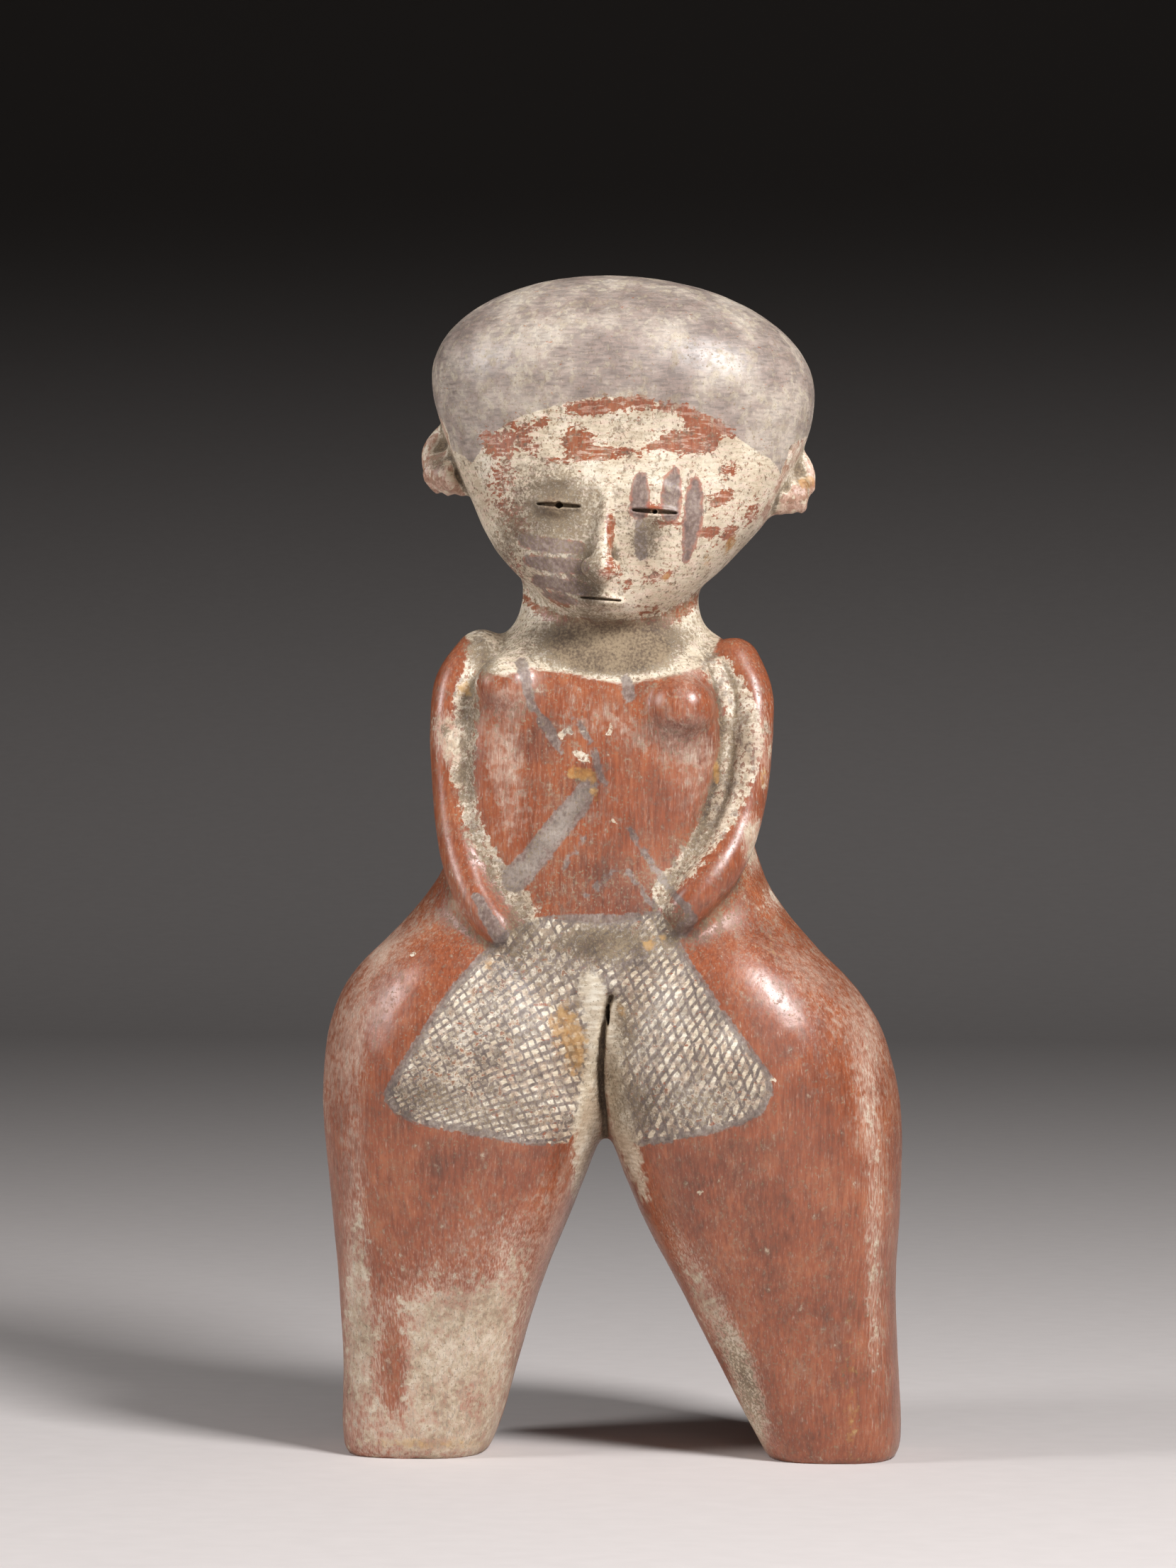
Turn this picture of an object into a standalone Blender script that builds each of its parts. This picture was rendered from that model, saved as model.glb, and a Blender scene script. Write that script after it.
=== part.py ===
"""Standing female figure in hollow, slip-painted earthenware, with the net apron painted on its thighs.

The figure was coiled, pressed and burnished as one piece of clay, so it is one closed solid here. It faces
-Y and stands on its two flat leg ends at Z = 0. Sizes below are in millimetres, and MM turns them to
metres. "Right" and "left" are the figure's own, so its right side is at -X. Clay lumps are fused and
smoothed three times: first the core, then the limbs and the head, and last the nose and the ears.
"""

import math

import bmesh
import bpy
from mathutils import Matrix, Vector

MM = 0.001
FIGURE_HEIGHT = 700.0

# Each time the lumps are fused: the grain of the skin, and how many smoothing passes it gets.
CORE_STAGE = (3.0, 34)
LIMB_STAGE = (2.8, 9)
FEATURE_STAGE = (2.2, 3)
SMOOTHING_STRENGTH = 0.5
SURFACE_TRIANGLES = 8600

# Fineness of the lumps before they are fused.
RING_POINTS = 64
LOFT_STEP = 6.0
BALL_SIDES = 32
ROLL_QUARTER_SIDES = 6
ROLL_STEPS = 8
WELD = 0.01

# The two legs share their heights, fronts, backs and the power of their superellipse section.
LEG_SECTIONS = [
    (-5, -47, 46, 2.9),
    (4, -48, 47, 2.9),
    (14, -51, 50, 2.9),
    (57, -57, 56, 2.8),
    (100, -66, 64, 2.7),
    (150, -77, 75, 2.6),
    (201, -84, 86, 2.45),
    (230, -86, 90, 2.4),
    (255, -84, 89, 2.4),
    (280, -78, 80, 2.35),
    (300, -69, 69, 2.3),
    (320, -52, 54, 2.2),
]
# Their outer and inner edges at those heights: the left leg strides further out than the right.
RIGHT_LEG_EDGES = [
    (-159, -75), (-160, -73), (-161, -68), (-160.5, -56), (-162.8, -42.5), (-167.2, -22),
    (-172.6, -3), (-172.2, 2), (-169, 2), (-159, -6), (-141, -18), (-113, -38),
]
LEFT_LEG_EDGES = [
    (170, 93), (171, 91), (172, 85), (170, 62.5), (168.4, 40.5), (171.6, 14.5),
    (172, -4), (167, -6), (159, -6), (142, 1), (121, 11), (96, 28),
]

# The trunk from between the thighs to inside the head: height, right edge, left edge, front, back, power.
TRUNK = [
    (238, -62, 54, -52, 66, 2.2),
    (262, -100, 92, -62, 70, 2.2),
    (280, -150, 134, -68, 71, 2.3),
    (300, -140, 122, -68, 67, 2.4),
    (320, -121, 105, -65, 61, 2.6),
    (340, -105, 91, -61, 56, 2.8),
    (366, -90, 77, -55, 51, 3.0),
    (395, -83, 70, -50, 48, 3.0),
    (440, -82, 68, -49, 48, 3.0),
    (462, -78, 66, -48, 47, 2.8),
    (478, -70, 62, -47, 45, 2.5),
    (490, -60, 55, -46, 44, 2.2),
    (506, -54, 51, -43, 43, 2.1),
    (530, -55, 54, -43, 43, 2.1),
    (560, -53, 55, -40, 40, 2.1),
]
# The full front of the chest and belly, which stands above the arms like a pillow.
CHEST = [
    (298, -30, 2, -54, -22, 2.2),
    (314, -48, 14, -61, -22, 2.4),
    (330, -60, 25, -62, -22, 2.6),
    (343, -69, 35, -61.5, -22, 2.8),
    (357, -78, 45, -61, -22, 3.0),
    (375, -82, 54, -60, -21, 3.2),
    (398, -83.5, 63, -59, -20, 3.3),
    (425, -83, 67.5, -58, -20, 3.3),
    (448, -80, 66, -56.5, -20, 3.1),
    (466, -72, 61, -52.5, -20, 2.8),
    (480, -59, 51, -46, -18, 2.4),
]
# The thinner slab behind the arms, which they are pressed on to.
ARM_BED = [
    (322, -112, 98, -48, 54, 2.4),
    (345, -102, 90, -43, 51, 2.5),
    (366, -96, 83, -38, 48, 2.8),
    (395, -94, 82, -34, 46, 3.0),
    (430, -96, 85, -32, 45, 3.0),
    (455, -94, 85, -30, 43, 2.8),
    (474, -84, 78, -27, 39, 2.5),
    (487, -68, 64, -24, 33, 2.2),
]
# Each arm is a roll of clay: x, y, z and radius along its middle, shoulder to hand.
RIGHT_ARM = [
    (-77, -13, 473, 17),
    (-90, -23, 456, 14.5),
    (-93.5, -31, 430, 12.5),
    (-92.5, -35, 400, 12),
    (-89.5, -39, 376, 12.5),
    (-84, -46, 353, 13),
    (-76, -55, 333, 12.5),
    (-66, -62, 319, 11.5),
    (-59, -65, 312, 9.5),
]
LEFT_ARM = [
    (73, -13, 468, 17),
    (83.5, -23, 451, 14),
    (85.5, -31, 428, 12.5),
    (84, -35, 402, 12),
    (80, -39, 380, 12.5),
    (73, -47, 360, 13.5),
    (63.5, -56, 344, 13.5),
    (53, -62, 331, 12.5),
    (46, -64, 322, 10.5),
]
RIGHT_BREAST = (-58, -46, 455)
LEFT_BREAST = (43, -49, 442)
BREAST_RADII = (18, 18, 18)

# The head has its own axes: its middle, a lean to the left shoulder, and sections from the chin up.
CROWN_HEIGHT = 65.5
HEAD_MIDDLE = (6, 0, FIGURE_HEIGHT - CROWN_HEIGHT)
HEAD_LEAN = math.radians(4.0)
CROWN_POWER = 2.0
CROWN_RINGS = 12
CROWN_TIP = 0.04
HEAD = [
    (-142, -8, 16, -54, -32, 2.0),
    (-137, -22, 28, -62, -14, 2.0),
    (-131, -33, 38, -66, 0, 2.1),
    (-124, -44, 48, -69, 16, 2.2),
    (-108, -63, 65, -72.5, 40, 2.4),
    (-92, -75, 78, -74, 54, 2.45),
    (-75, -84, 91, -74.5, 62, 2.45),
    (-52, -96, 102.5, -74, 69, 2.4),
    (-30, -106.5, 110.5, -73, 73, 2.35),
    (-14, -112.5, 114.5, -76, 75, 2.3),
    (0, -114.5, 115, -79, 76, 2.25),
]

# Ears, in the head's axes: each is a rim above three short rolls of clay.
EAR_RIM = [(97, 4, -38, 5.5), (107, 3, -39, 5.5), (113.5, 2, -46, 5), (112, 0, -54, 5)]
EAR_ROLL_HEADS = [(95, -9, -52), (103, -8, -51), (110, -4, -52)]
EAR_ROLL_FEET = [(94, -8, -67), (103, -6, -66), (111, -2, -62)]
EAR_ROLL_RADIUS = 5.2
EAR_BACK = (98, 4, -53)
EAR_BACK_RADII = (13, 8, 16)

# The face is laid out by simple fractions of its height, from the chin up to the hairline.
CHIN = -142.0
HAIRLINE = -10.0
FACE_MIDDLE = 2.0
EYE_LINE = 0.5
NOSE_TOP, NOSE_TIP = 0.6, 0.21
MOUTH_LINE = 0.1
NOSE_RISE = [(0.0, -70, 3.5), (0.3, -75, 4.5), (0.65, -79, 5.5), (0.9, -82, 7), (1.0, -82, 7.5)]
EYE_SPACING = 56.0
SLIT_SIDES = 16
EYE_CUT = (13, 4, 1.3)
EYE_FRONT = -74.5
EYE_TURN = math.radians(8)
MOUTH_CUT = (12.5, 4, 1.1)
MOUTH_FRONT = -67.5

FLOOR_BLOCK = (500, 500, 100)
SHARP_EDGE = math.radians(40)
CLAY_COLOUR = (0.42, 0.13, 0.06, 1.0)
CLAY_ROUGHNESS = 0.45


def clear_scene():
    """Removes the objects that a new file starts with."""
    for thing in list(bpy.data.objects):
        bpy.data.objects.remove(thing)


def collection_named(name):
    """A new collection in the scene."""
    made = bpy.data.collections.new(name)
    bpy.context.scene.collection.children.link(made)
    return made


def curve_between(stations, place):
    """The stations' values at a place, on cubic curves through all of them. Each starts with its place."""
    places = [station[0] for station in stations]
    last = len(stations) - 2
    here = max(0, min(last, sum(1 for value in places[1:-1] if value <= place)))
    start, end = places[here], places[here + 1]
    t = (place - start) / (end - start)

    def slope(index, column):
        low, high = max(index - 1, 0), min(index + 1, len(stations) - 1)
        rise = stations[high][column] - stations[low][column]
        return rise / (places[high] - places[low])

    values = []
    for column in range(len(stations[0])):
        a, b = stations[here][column], stations[here + 1][column]
        m, n = slope(here, column) * (end - start), slope(here + 1, column) * (end - start)
        values.append(
            (2 * t**3 - 3 * t**2 + 1) * a
            + (t**3 - 2 * t**2 + t) * m
            + (3 * t**2 - 2 * t**3) * b
            + (t**3 - t**2) * n
        )
    return values


def section_points(height, side_a, side_b, front, back, power):
    """One superellipse section through its four edges, in millimetres."""
    middle = Vector(((side_a + side_b) / 2, (front + back) / 2, height))
    half_width, half_depth = abs(side_b - side_a) / 2, (back - front) / 2
    points = []
    for step in range(RING_POINTS):
        turn = 2 * math.pi * step / RING_POINTS
        across, along = math.cos(turn), math.sin(turn)
        x = half_width * math.copysign(abs(across) ** (2 / power), across)
        y = half_depth * math.copysign(abs(along) ** (2 / power), along)
        points.append(middle + Vector((x, y, 0)))
    return points


def loft(sections, name, gather):
    """A closed skin through the sections, with a flat fan over each end."""
    mesh = bmesh.new()
    rings = [[mesh.verts.new(point * MM) for point in section] for section in sections]
    for low, high in zip(rings, rings[1:]):
        for i in range(RING_POINTS):
            j = (i + 1) % RING_POINTS
            mesh.faces.new((low[i], low[j], high[j], high[i]))
    mesh.faces.new(reversed(rings[0]))
    mesh.faces.new(rings[-1])
    bmesh.ops.recalc_face_normals(mesh, faces=mesh.faces)
    return lump(mesh, name, gather)


def lump(mesh, name, gather):
    """Puts a finished bmesh among the clay lumps, which are helpers and not nodes."""
    data = bpy.data.meshes.new(name)
    mesh.to_mesh(data)
    mesh.free()
    made = bpy.data.objects.new(name, data)
    made.hide_render = True
    made.display_type = "WIRE"
    gather.objects.link(made)
    return made


def sections_of(stations):
    """Sections every few millimetres from the first station to the last."""
    low, high = stations[0][0], stations[-1][0]
    count = math.ceil((high - low) / LOFT_STEP)
    places = [low + (high - low) * step / count for step in range(count + 1)]
    return [section_points(*curve_between(stations, place)) for place in places]


def crown_sections():
    """The domed top of the head, which shrinks from the widest section by a superellipse."""
    _, right, left, front, back, power = HEAD[-1]
    made = []
    for step in range(1, CROWN_RINGS):
        turn = math.pi / 2 * step / CROWN_RINGS
        shrink = math.cos(turn) ** (2 / CROWN_POWER)
        height = CROWN_HEIGHT * math.sin(turn) ** (2 / CROWN_POWER)
        sides = [value * shrink for value in (right, left, front, back)]
        made.append(section_points(height, *sides, power))
    sides = [value * CROWN_TIP for value in (right, left, front, back)]
    made.append(section_points(CROWN_HEIGHT, *sides, power))
    return made


def ball(middle, radii, name, gather, sides=BALL_SIDES):
    """An ellipsoid."""
    mesh = bmesh.new()
    bmesh.ops.create_uvsphere(mesh, u_segments=sides, v_segments=sides // 2, radius=1.0)
    size = Matrix.Diagonal([*(radius * MM for radius in radii), 1.0])
    mesh.transform(Matrix.Translation(Vector(middle) * MM) @ size)
    return lump(mesh, name, gather)


def roll(points, name, gather):
    """A roll of clay with round ends, along a smooth curve through points of x, y, z and radius."""
    curve = bpy.data.curves.new(name, "CURVE")
    curve.dimensions = "3D"
    curve.bevel_depth = MM
    curve.bevel_resolution = ROLL_QUARTER_SIDES
    curve.resolution_u = ROLL_STEPS
    curve.use_fill_caps = True
    spline = curve.splines.new("BEZIER")
    spline.bezier_points.add(len(points) - 1)
    for point, (x, y, z, radius) in zip(spline.bezier_points, points):
        point.co = Vector((x, y, z)) * MM
        point.radius = radius
        point.handle_left_type = point.handle_right_type = "AUTO"
    made = bpy.data.objects.new(name, curve)
    gather.objects.link(made)
    skin = bmesh.new()
    skin.from_mesh(evaluated_mesh(made))
    bmesh.ops.remove_doubles(skin, verts=skin.verts, dist=WELD * MM)
    bpy.data.objects.remove(made)
    lump(skin, name, gather)
    for end, (x, y, z, radius) in (("start", points[0]), ("end", points[-1])):
        ball((x, y, z), (radius, radius, radius), f"{name}_{end}", gather)


def evaluated_mesh(thing):
    """The object's mesh with its modifiers applied."""
    bpy.context.view_layer.update()
    graph = bpy.context.evaluated_depsgraph_get()
    return bpy.data.meshes.new_from_object(thing.evaluated_get(graph))


def joined(things):
    """One bmesh that holds the world-space shapes of several objects."""
    bpy.context.view_layer.update()
    whole = bmesh.new()
    for thing in things:
        shape = evaluated_mesh(thing)
        shape.transform(thing.matrix_world)
        whole.from_mesh(shape)
    return whole


def merge_and_smooth(thing, stage):
    """Fuses overlapping lumps into one skin and softens their joins, as a wet hand does."""
    voxel, passes = stage
    fuse = thing.modifiers.new("fuse", "REMESH")
    fuse.mode = "VOXEL"
    fuse.voxel_size = voxel * MM
    fuse.adaptivity = 0.0
    soften = thing.modifiers.new("soften", "SMOOTH")
    soften.factor = SMOOTHING_STRENGTH
    soften.iterations = passes


def leg_stations(edges):
    """One leg's stations, from the shared sections and its own outer and inner edges."""
    return [(section[0], *sides, *section[1:]) for section, sides in zip(LEG_SECTIONS, edges)]


def in_head_axes(things):
    """Moves shapes made in the head's axes to where the head is."""
    place = Matrix.Translation(Vector(HEAD_MIDDLE) * MM) @ Matrix.Rotation(HEAD_LEAN, 4, "Y")
    for thing in things:
        thing.data.transform(place)


def build_core(gather):
    """Legs, trunk, chest, breasts and the slab under the arms, fused with wide soft joins."""
    loft(sections_of(leg_stations(RIGHT_LEG_EDGES)), "right_leg", gather)
    loft(sections_of(leg_stations(LEFT_LEG_EDGES)), "left_leg", gather)
    loft(sections_of(TRUNK), "trunk", gather)
    loft(sections_of(CHEST), "chest", gather)
    loft(sections_of(ARM_BED), "arm_bed", gather)
    ball(RIGHT_BREAST, BREAST_RADII, "right_breast", gather)
    ball(LEFT_BREAST, BREAST_RADII, "left_breast", gather)
    core = lump(joined(gather.objects), "core", gather)
    merge_and_smooth(core, CORE_STAGE)
    return core


def build_limbs(core, gather):
    """The core with its arms and head pressed on."""
    roll(RIGHT_ARM, "right_arm", gather)
    roll(LEFT_ARM, "left_arm", gather)
    head = loft(sections_of(HEAD) + crown_sections(), "head", gather)
    in_head_axes([head])
    body = lump(joined([core, *gather.objects]), "body", gather)
    merge_and_smooth(body, LIMB_STAGE)
    return body


def build_ear(side, gather):
    """One ear, in the head's axes: the rim, the three rolls under it and the clay behind them."""
    name = "left_ear" if side > 0 else "right_ear"
    roll([(side * x, y, z, r) for x, y, z, r in EAR_RIM], f"{name}_rim", gather)
    for index, (top, foot) in enumerate(zip(EAR_ROLL_HEADS, EAR_ROLL_FEET)):
        ends = [(side * x, y, z, EAR_ROLL_RADIUS) for x, y, z in (top, foot)]
        roll(ends, f"{name}_roll_{index + 1}", gather)
    x, y, z = EAR_BACK
    ball((side * x, y, z), EAR_BACK_RADII, f"{name}_back", gather)


def face_height(share):
    """The height in the head's axes of a share of the way from the chin to the hairline."""
    return CHIN + share * (HAIRLINE - CHIN)


def build_features(gather):
    """Nose and ears, which keep crisper edges than the body."""
    for side in (-1, 1):
        build_ear(side, gather)
    top, tip = face_height(NOSE_TOP), face_height(NOSE_TIP)
    ridge = [(FACE_MIDDLE, y, top + share * (tip - top), radius) for share, y, radius in NOSE_RISE]
    roll(ridge, "nose", gather)
    in_head_axes(gather.objects)


def build_face_cutters(gather):
    """Lens-shaped cutters for the two eye slits and the mouth, in the head's axes and then placed."""
    for side in (-1, 1):
        name = "left_eye" if side > 0 else "right_eye"
        slit = ball((0, 0, 0), EYE_CUT, name, gather, SLIT_SIDES)
        slit.data.transform(Matrix.Rotation(side * EYE_TURN, 4, "Z"))
        middle = (FACE_MIDDLE + side * EYE_SPACING / 2, EYE_FRONT, face_height(EYE_LINE))
        slit.data.transform(Matrix.Translation(Vector(middle) * MM))
    mouth = (FACE_MIDDLE, MOUTH_FRONT, face_height(MOUTH_LINE))
    ball(mouth, MOUTH_CUT, "mouth", gather, SLIT_SIDES)
    in_head_axes(gather.objects)


def clay_material():
    """Burnished red slip."""
    material = bpy.data.materials.new("red_slip")
    material.use_nodes = True
    shader = material.node_tree.nodes["Principled BSDF"]
    shader.inputs["Base Color"].default_value = CLAY_COLOUR
    shader.inputs["Roughness"].default_value = CLAY_ROUGHNESS
    shader.inputs["Metallic"].default_value = 0.0
    return material


def floor_cutter(gather):
    """A block under Z = 0 that cuts both leg ends flat."""
    mesh = bmesh.new()
    bmesh.ops.create_cube(mesh, size=MM)
    mesh.transform(Matrix.Diagonal((*FLOOR_BLOCK, 1.0)))
    mesh.transform(Matrix.Translation((0, 0, -FLOOR_BLOCK[2] / 2 * MM)))
    return lump(mesh, "floor_block", gather)


def stand_on_origin(thing):
    """Moves the shape so that the middle of its footprint box is over the origin, with Z = 0 underneath."""
    spots = [vertex.co for vertex in thing.data.vertices]
    low, high = (Vector(pick(spot[axis] for spot in spots) for axis in range(3)) for pick in (min, max))
    thing.data.transform(Matrix.Translation((-(low.x + high.x) / 2, -(low.y + high.y) / 2, -low.z)))


def build_figure():
    """The finished solid: core, limbs and features fused, thinned to few faces and cut flat underneath."""
    core_lumps = collection_named("core_lumps")
    limb_lumps = collection_named("limb_lumps")
    feature_lumps = collection_named("feature_lumps")
    cutters = collection_named("cutters")
    body = build_limbs(build_core(core_lumps), limb_lumps)
    build_features(feature_lumps)
    whole = lump(joined([body, *feature_lumps.objects]), "figure", collection_named("nayarit_figure"))
    whole.hide_render = False
    whole.display_type = "TEXTURED"
    merge_and_smooth(whole, FEATURE_STAGE)
    fine_triangles = 2 * len(evaluated_mesh(whole).polygons)
    thin = whole.modifiers.new("thin", "DECIMATE")
    thin.ratio = SURFACE_TRIANGLES / fine_triangles
    build_face_cutters(cutters)
    floor_cutter(cutters)
    for cutter in cutters.objects:
        cut = whole.modifiers.new(cutter.name, "BOOLEAN")
        cut.operation = "DIFFERENCE"
        cut.object = cutter
    whole.data = evaluated_mesh(whole)
    whole.modifiers.clear()
    whole.data.materials.clear()
    whole.data.materials.append(clay_material())
    whole.data.shade_smooth()
    whole.data.set_sharp_from_angle(angle=SHARP_EDGE)
    stand_on_origin(whole)
    return whole


def main():
    """Clears the file and builds the figure."""
    clear_scene()
    build_figure()


main()
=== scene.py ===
"""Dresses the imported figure: its finer clay work, its burnished and painted slips, and a plain studio.

The figure was shaped by hand from one body of clay, so one mesh stands for it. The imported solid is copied,
softened, given its smaller lumps, cuts and hand-worked surface, and then measured, so that each painted zone
reaches the material as an attribute in millimetres. "Right" and "left" are the figure's own: its right is at
-X, and it faces -Y.
"""

import logging
import math
from dataclasses import dataclass, field
from enum import Enum
from functools import partial

import bmesh
import bpy
import numpy as np
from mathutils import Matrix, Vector


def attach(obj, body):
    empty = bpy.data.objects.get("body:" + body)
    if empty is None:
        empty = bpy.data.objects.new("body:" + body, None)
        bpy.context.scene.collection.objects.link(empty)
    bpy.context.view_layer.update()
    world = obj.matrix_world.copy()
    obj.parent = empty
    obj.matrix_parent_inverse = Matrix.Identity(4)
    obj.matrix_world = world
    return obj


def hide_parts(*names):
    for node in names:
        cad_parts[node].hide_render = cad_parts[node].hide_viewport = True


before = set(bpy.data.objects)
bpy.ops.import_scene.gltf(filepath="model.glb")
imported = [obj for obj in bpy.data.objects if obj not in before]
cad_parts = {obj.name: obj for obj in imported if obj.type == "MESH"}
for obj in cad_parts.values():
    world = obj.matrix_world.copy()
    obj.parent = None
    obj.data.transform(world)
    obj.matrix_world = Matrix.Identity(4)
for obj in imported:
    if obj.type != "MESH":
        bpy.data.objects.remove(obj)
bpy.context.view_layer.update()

MM = 0.001
log = logging.getLogger("figure")

Spot = tuple[float, ...]
Path = tuple[Spot, ...]


def linear(colour: str) -> tuple[float, float, float, float]:
    """Turns an sRGB colour to linear light.

    Args:
        colour: Six hex digits after a hash sign.

    Returns:
        Linear red, green and blue, and an alpha of one.
    """
    digits = colour.lstrip("#")
    shares = [int(digits[place : place + 2], 16) / 255 for place in (0, 2, 4)]
    light = [share / 12.92 if share <= 0.04045 else ((share + 0.055) / 1.055) ** 2.4 for share in shares]
    return (*light, 1.0)


def per_metre(size_mm: float) -> float:
    """The texture scale that gives features of a real size, on coordinates in metres."""
    return 1.0 / (size_mm * MM)


def put(tree: bpy.types.NodeTree, kind: str, *values: object, **named: object) -> bpy.types.Node:
    """Adds a node with its settings and links.

    Args:
        tree: The node tree.
        kind: The node's Blender type.
        *values: A number, node or socket for each of the node's open inputs, in order.
        **named: Settings in small letters, and inputs with a capital, with underscores for spaces.

    Returns:
        The new node.
    """
    made = tree.nodes.new(kind)
    for name, value in named.items():
        if name[0].islower():
            setattr(made, name, value)
    ready = [socket for socket in made.inputs if socket.enabled]
    wanted = list(zip(ready, values))
    for name, value in named.items():
        if name[0].isupper():
            wanted.append((next(socket for socket in ready if socket.name == name.replace("_", " ")), value))
    for socket, value in wanted:
        if isinstance(value, bpy.types.Node):
            value = next(output for output in value.outputs if output.enabled)
        if isinstance(value, bpy.types.NodeSocket):
            tree.links.new(value, socket)
        else:
            socket.default_value = value
    return made


def smooth_step(value: np.ndarray, low: float, high: float) -> np.ndarray:
    """Rises softly from 0 at low to 1 at high."""
    share = np.clip((value - low) / (high - low), 0.0, 1.0)
    return share * share * (3.0 - 2.0 * share)


def places_of(mesh: bpy.types.Mesh) -> np.ndarray:
    """The mesh's vertices in millimetres, one row each.

    Args:
        mesh: The mesh.

    Returns:
        One row of x, y and z for each vertex.
    """
    flat = np.empty(len(mesh.vertices) * 3, np.float32)
    mesh.vertices.foreach_get("co", flat)
    return flat.reshape(-1, 3).astype(float) / MM


def move_to(mesh: bpy.types.Mesh, places: np.ndarray) -> None:
    """Moves the mesh's vertices to places in millimetres."""
    mesh.vertices.foreach_set("co", (places * MM).astype(np.float32).ravel())
    mesh.update()


def normals_of(mesh: bpy.types.Mesh) -> np.ndarray:
    """The mesh's vertex normals, one row each.

    Args:
        mesh: The mesh.

    Returns:
        One row of x, y and z for each vertex.
    """
    flat = np.empty(len(mesh.vertices) * 3, np.float32)
    mesh.vertex_normals.foreach_get("vector", flat)
    return flat.reshape(-1, 3).astype(float)


def edges_of(mesh: bpy.types.Mesh) -> np.ndarray:
    """The mesh's edges as pairs of vertex indices.

    Args:
        mesh: The mesh.

    Returns:
        One row of two indices for each edge.
    """
    flat = np.empty(len(mesh.edges) * 2, np.int32)
    mesh.edges.foreach_get("vertices", flat)
    return flat.reshape(-1, 2)


def neighbour_mean(values: np.ndarray, edges: np.ndarray) -> np.ndarray:
    """The mean of each vertex's neighbours.

    Args:
        values: One row for each vertex.
        edges: The mesh's edges.

    Returns:
        One row for each vertex.
    """
    here, there = np.concatenate([edges, edges[:, ::-1]]).T
    count = np.maximum(np.bincount(here, minlength=len(values)), 1)
    columns = [np.bincount(here, values[there, axis], len(values)) / count for axis in range(values.shape[1])]
    return np.stack(columns, axis=1)


def soften(mesh: bpy.types.Mesh, passes: int, shrink: float = 0.5, swell: float = -0.52) -> None:
    """Takes the facets out of a mesh and keeps its size, with a shrinking and a swelling half to each pass.

    Args:
        mesh: The mesh.
        passes: How many passes it gets.
        shrink: The share of the way to its neighbours that each vertex moves first.
        swell: The share that it then moves, negative to move back.
    """
    edges, places = edges_of(mesh), places_of(mesh)
    for _ in range(passes):
        for strength in (shrink, swell):
            places += strength * (neighbour_mean(places, edges) - places)
    move_to(mesh, places)


def evaluated_mesh(thing: bpy.types.Object) -> bpy.types.Mesh:
    """A plain mesh of the object with its modifiers applied.

    Args:
        thing: The object.

    Returns:
        A new mesh.
    """
    bpy.context.view_layer.update()
    graph = bpy.context.evaluated_depsgraph_get()
    return bpy.data.meshes.new_from_object(thing.evaluated_get(graph))


def new_object(name: str, data: bpy.types.ID) -> bpy.types.Object:
    """Puts a new object in the scene.

    Args:
        name: Its name.
        data: Its mesh, lamp or camera.

    Returns:
        The object.
    """
    made = bpy.data.objects.new(name, data)
    bpy.context.scene.collection.objects.link(made)
    return made


def applied(thing: bpy.types.Object) -> bpy.types.Object:
    """Applies all of an object's modifiers to its mesh.

    Args:
        thing: The object.

    Returns:
        The same object, without modifiers.
    """
    data = evaluated_mesh(thing)
    thing.modifiers.clear()
    thing.data = data
    return thing


def path_distance(spots: np.ndarray, path: Path, closed: bool = False) -> np.ndarray:
    """Measures how far spots on the front view lie from a path.

    Args:
        spots: One row of x and z for each spot.
        path: The path's points.
        closed: Whether the last point joins the first.

    Returns:
        One distance for each spot.
    """
    points = np.array(path + path[:1] if closed else path, float)
    nearest = np.full(len(spots), np.inf)
    for start, end in zip(points, points[1:]):
        span = end - start
        share = np.clip((spots - start) @ span / (span @ span), 0.0, 1.0)
        nearest = np.minimum(nearest, np.linalg.norm(spots - start - share[:, None] * span, axis=1))
    return nearest


def inside_stroke(spots: np.ndarray, stroke: Path) -> np.ndarray:
    """How far each spot on the front view lies inside a brush stroke, and negative outside it.

    Args:
        spots: One row of x and z for each spot.
        stroke: x, z and half-width of points along the stroke.

    Returns:
        One depth for each spot.
    """
    depth = np.full(len(spots), -np.inf)
    points = np.array(stroke, float)
    for start, end in zip(points, points[1:]):
        span = end[:2] - start[:2]
        share = np.clip((spots - start[:2]) @ span / (span @ span), 0.0, 1.0)
        gap = np.linalg.norm(spots - start[:2] - share[:, None] * span, axis=1)
        depth = np.maximum(depth, start[2] + share * (end[2] - start[2]) - gap)
    return depth


def depth_inside(spots: np.ndarray, outline: Path) -> np.ndarray:
    """How far each spot on the front view lies inside a closed outline, and negative outside it.

    Args:
        spots: One row of x and z for each spot.
        outline: The points of the outline.

    Returns:
        One depth for each spot.
    """
    inside = np.zeros(len(spots), bool)
    x, z = spots.T
    for (ax, az), (bx, bz) in zip(outline, outline[1:] + outline[:1]):
        if az != bz:
            crosses = (az > z) != (bz > z)
            inside ^= crosses & (x < (bx - ax) * (z - az) / (bz - az) + ax)
    return np.where(inside, 1.0, -1.0) * path_distance(spots, outline, closed=True)


def blots(spots: np.ndarray, marks: tuple[Spot, ...]) -> np.ndarray:
    """Adds up soft oval blots.

    Args:
        spots: One row of x and z for each spot.
        marks: For each blot its x, z, half-width, half-height, tilt in degrees and strength.

    Returns:
        One sum for each spot.
    """
    total = np.zeros(len(spots))
    for x, z, half_width, half_height, tilt, strength in marks:
        turn = math.radians(tilt)
        across, up = spots[:, 0] - x, spots[:, 1] - z
        along = (across * math.cos(turn) + up * math.sin(turn)) / half_width
        over = (up * math.cos(turn) - across * math.sin(turn)) / half_height
        total += strength * np.exp(-1.2 * (along**2 + over**2) ** 1.5)
    return total


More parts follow.
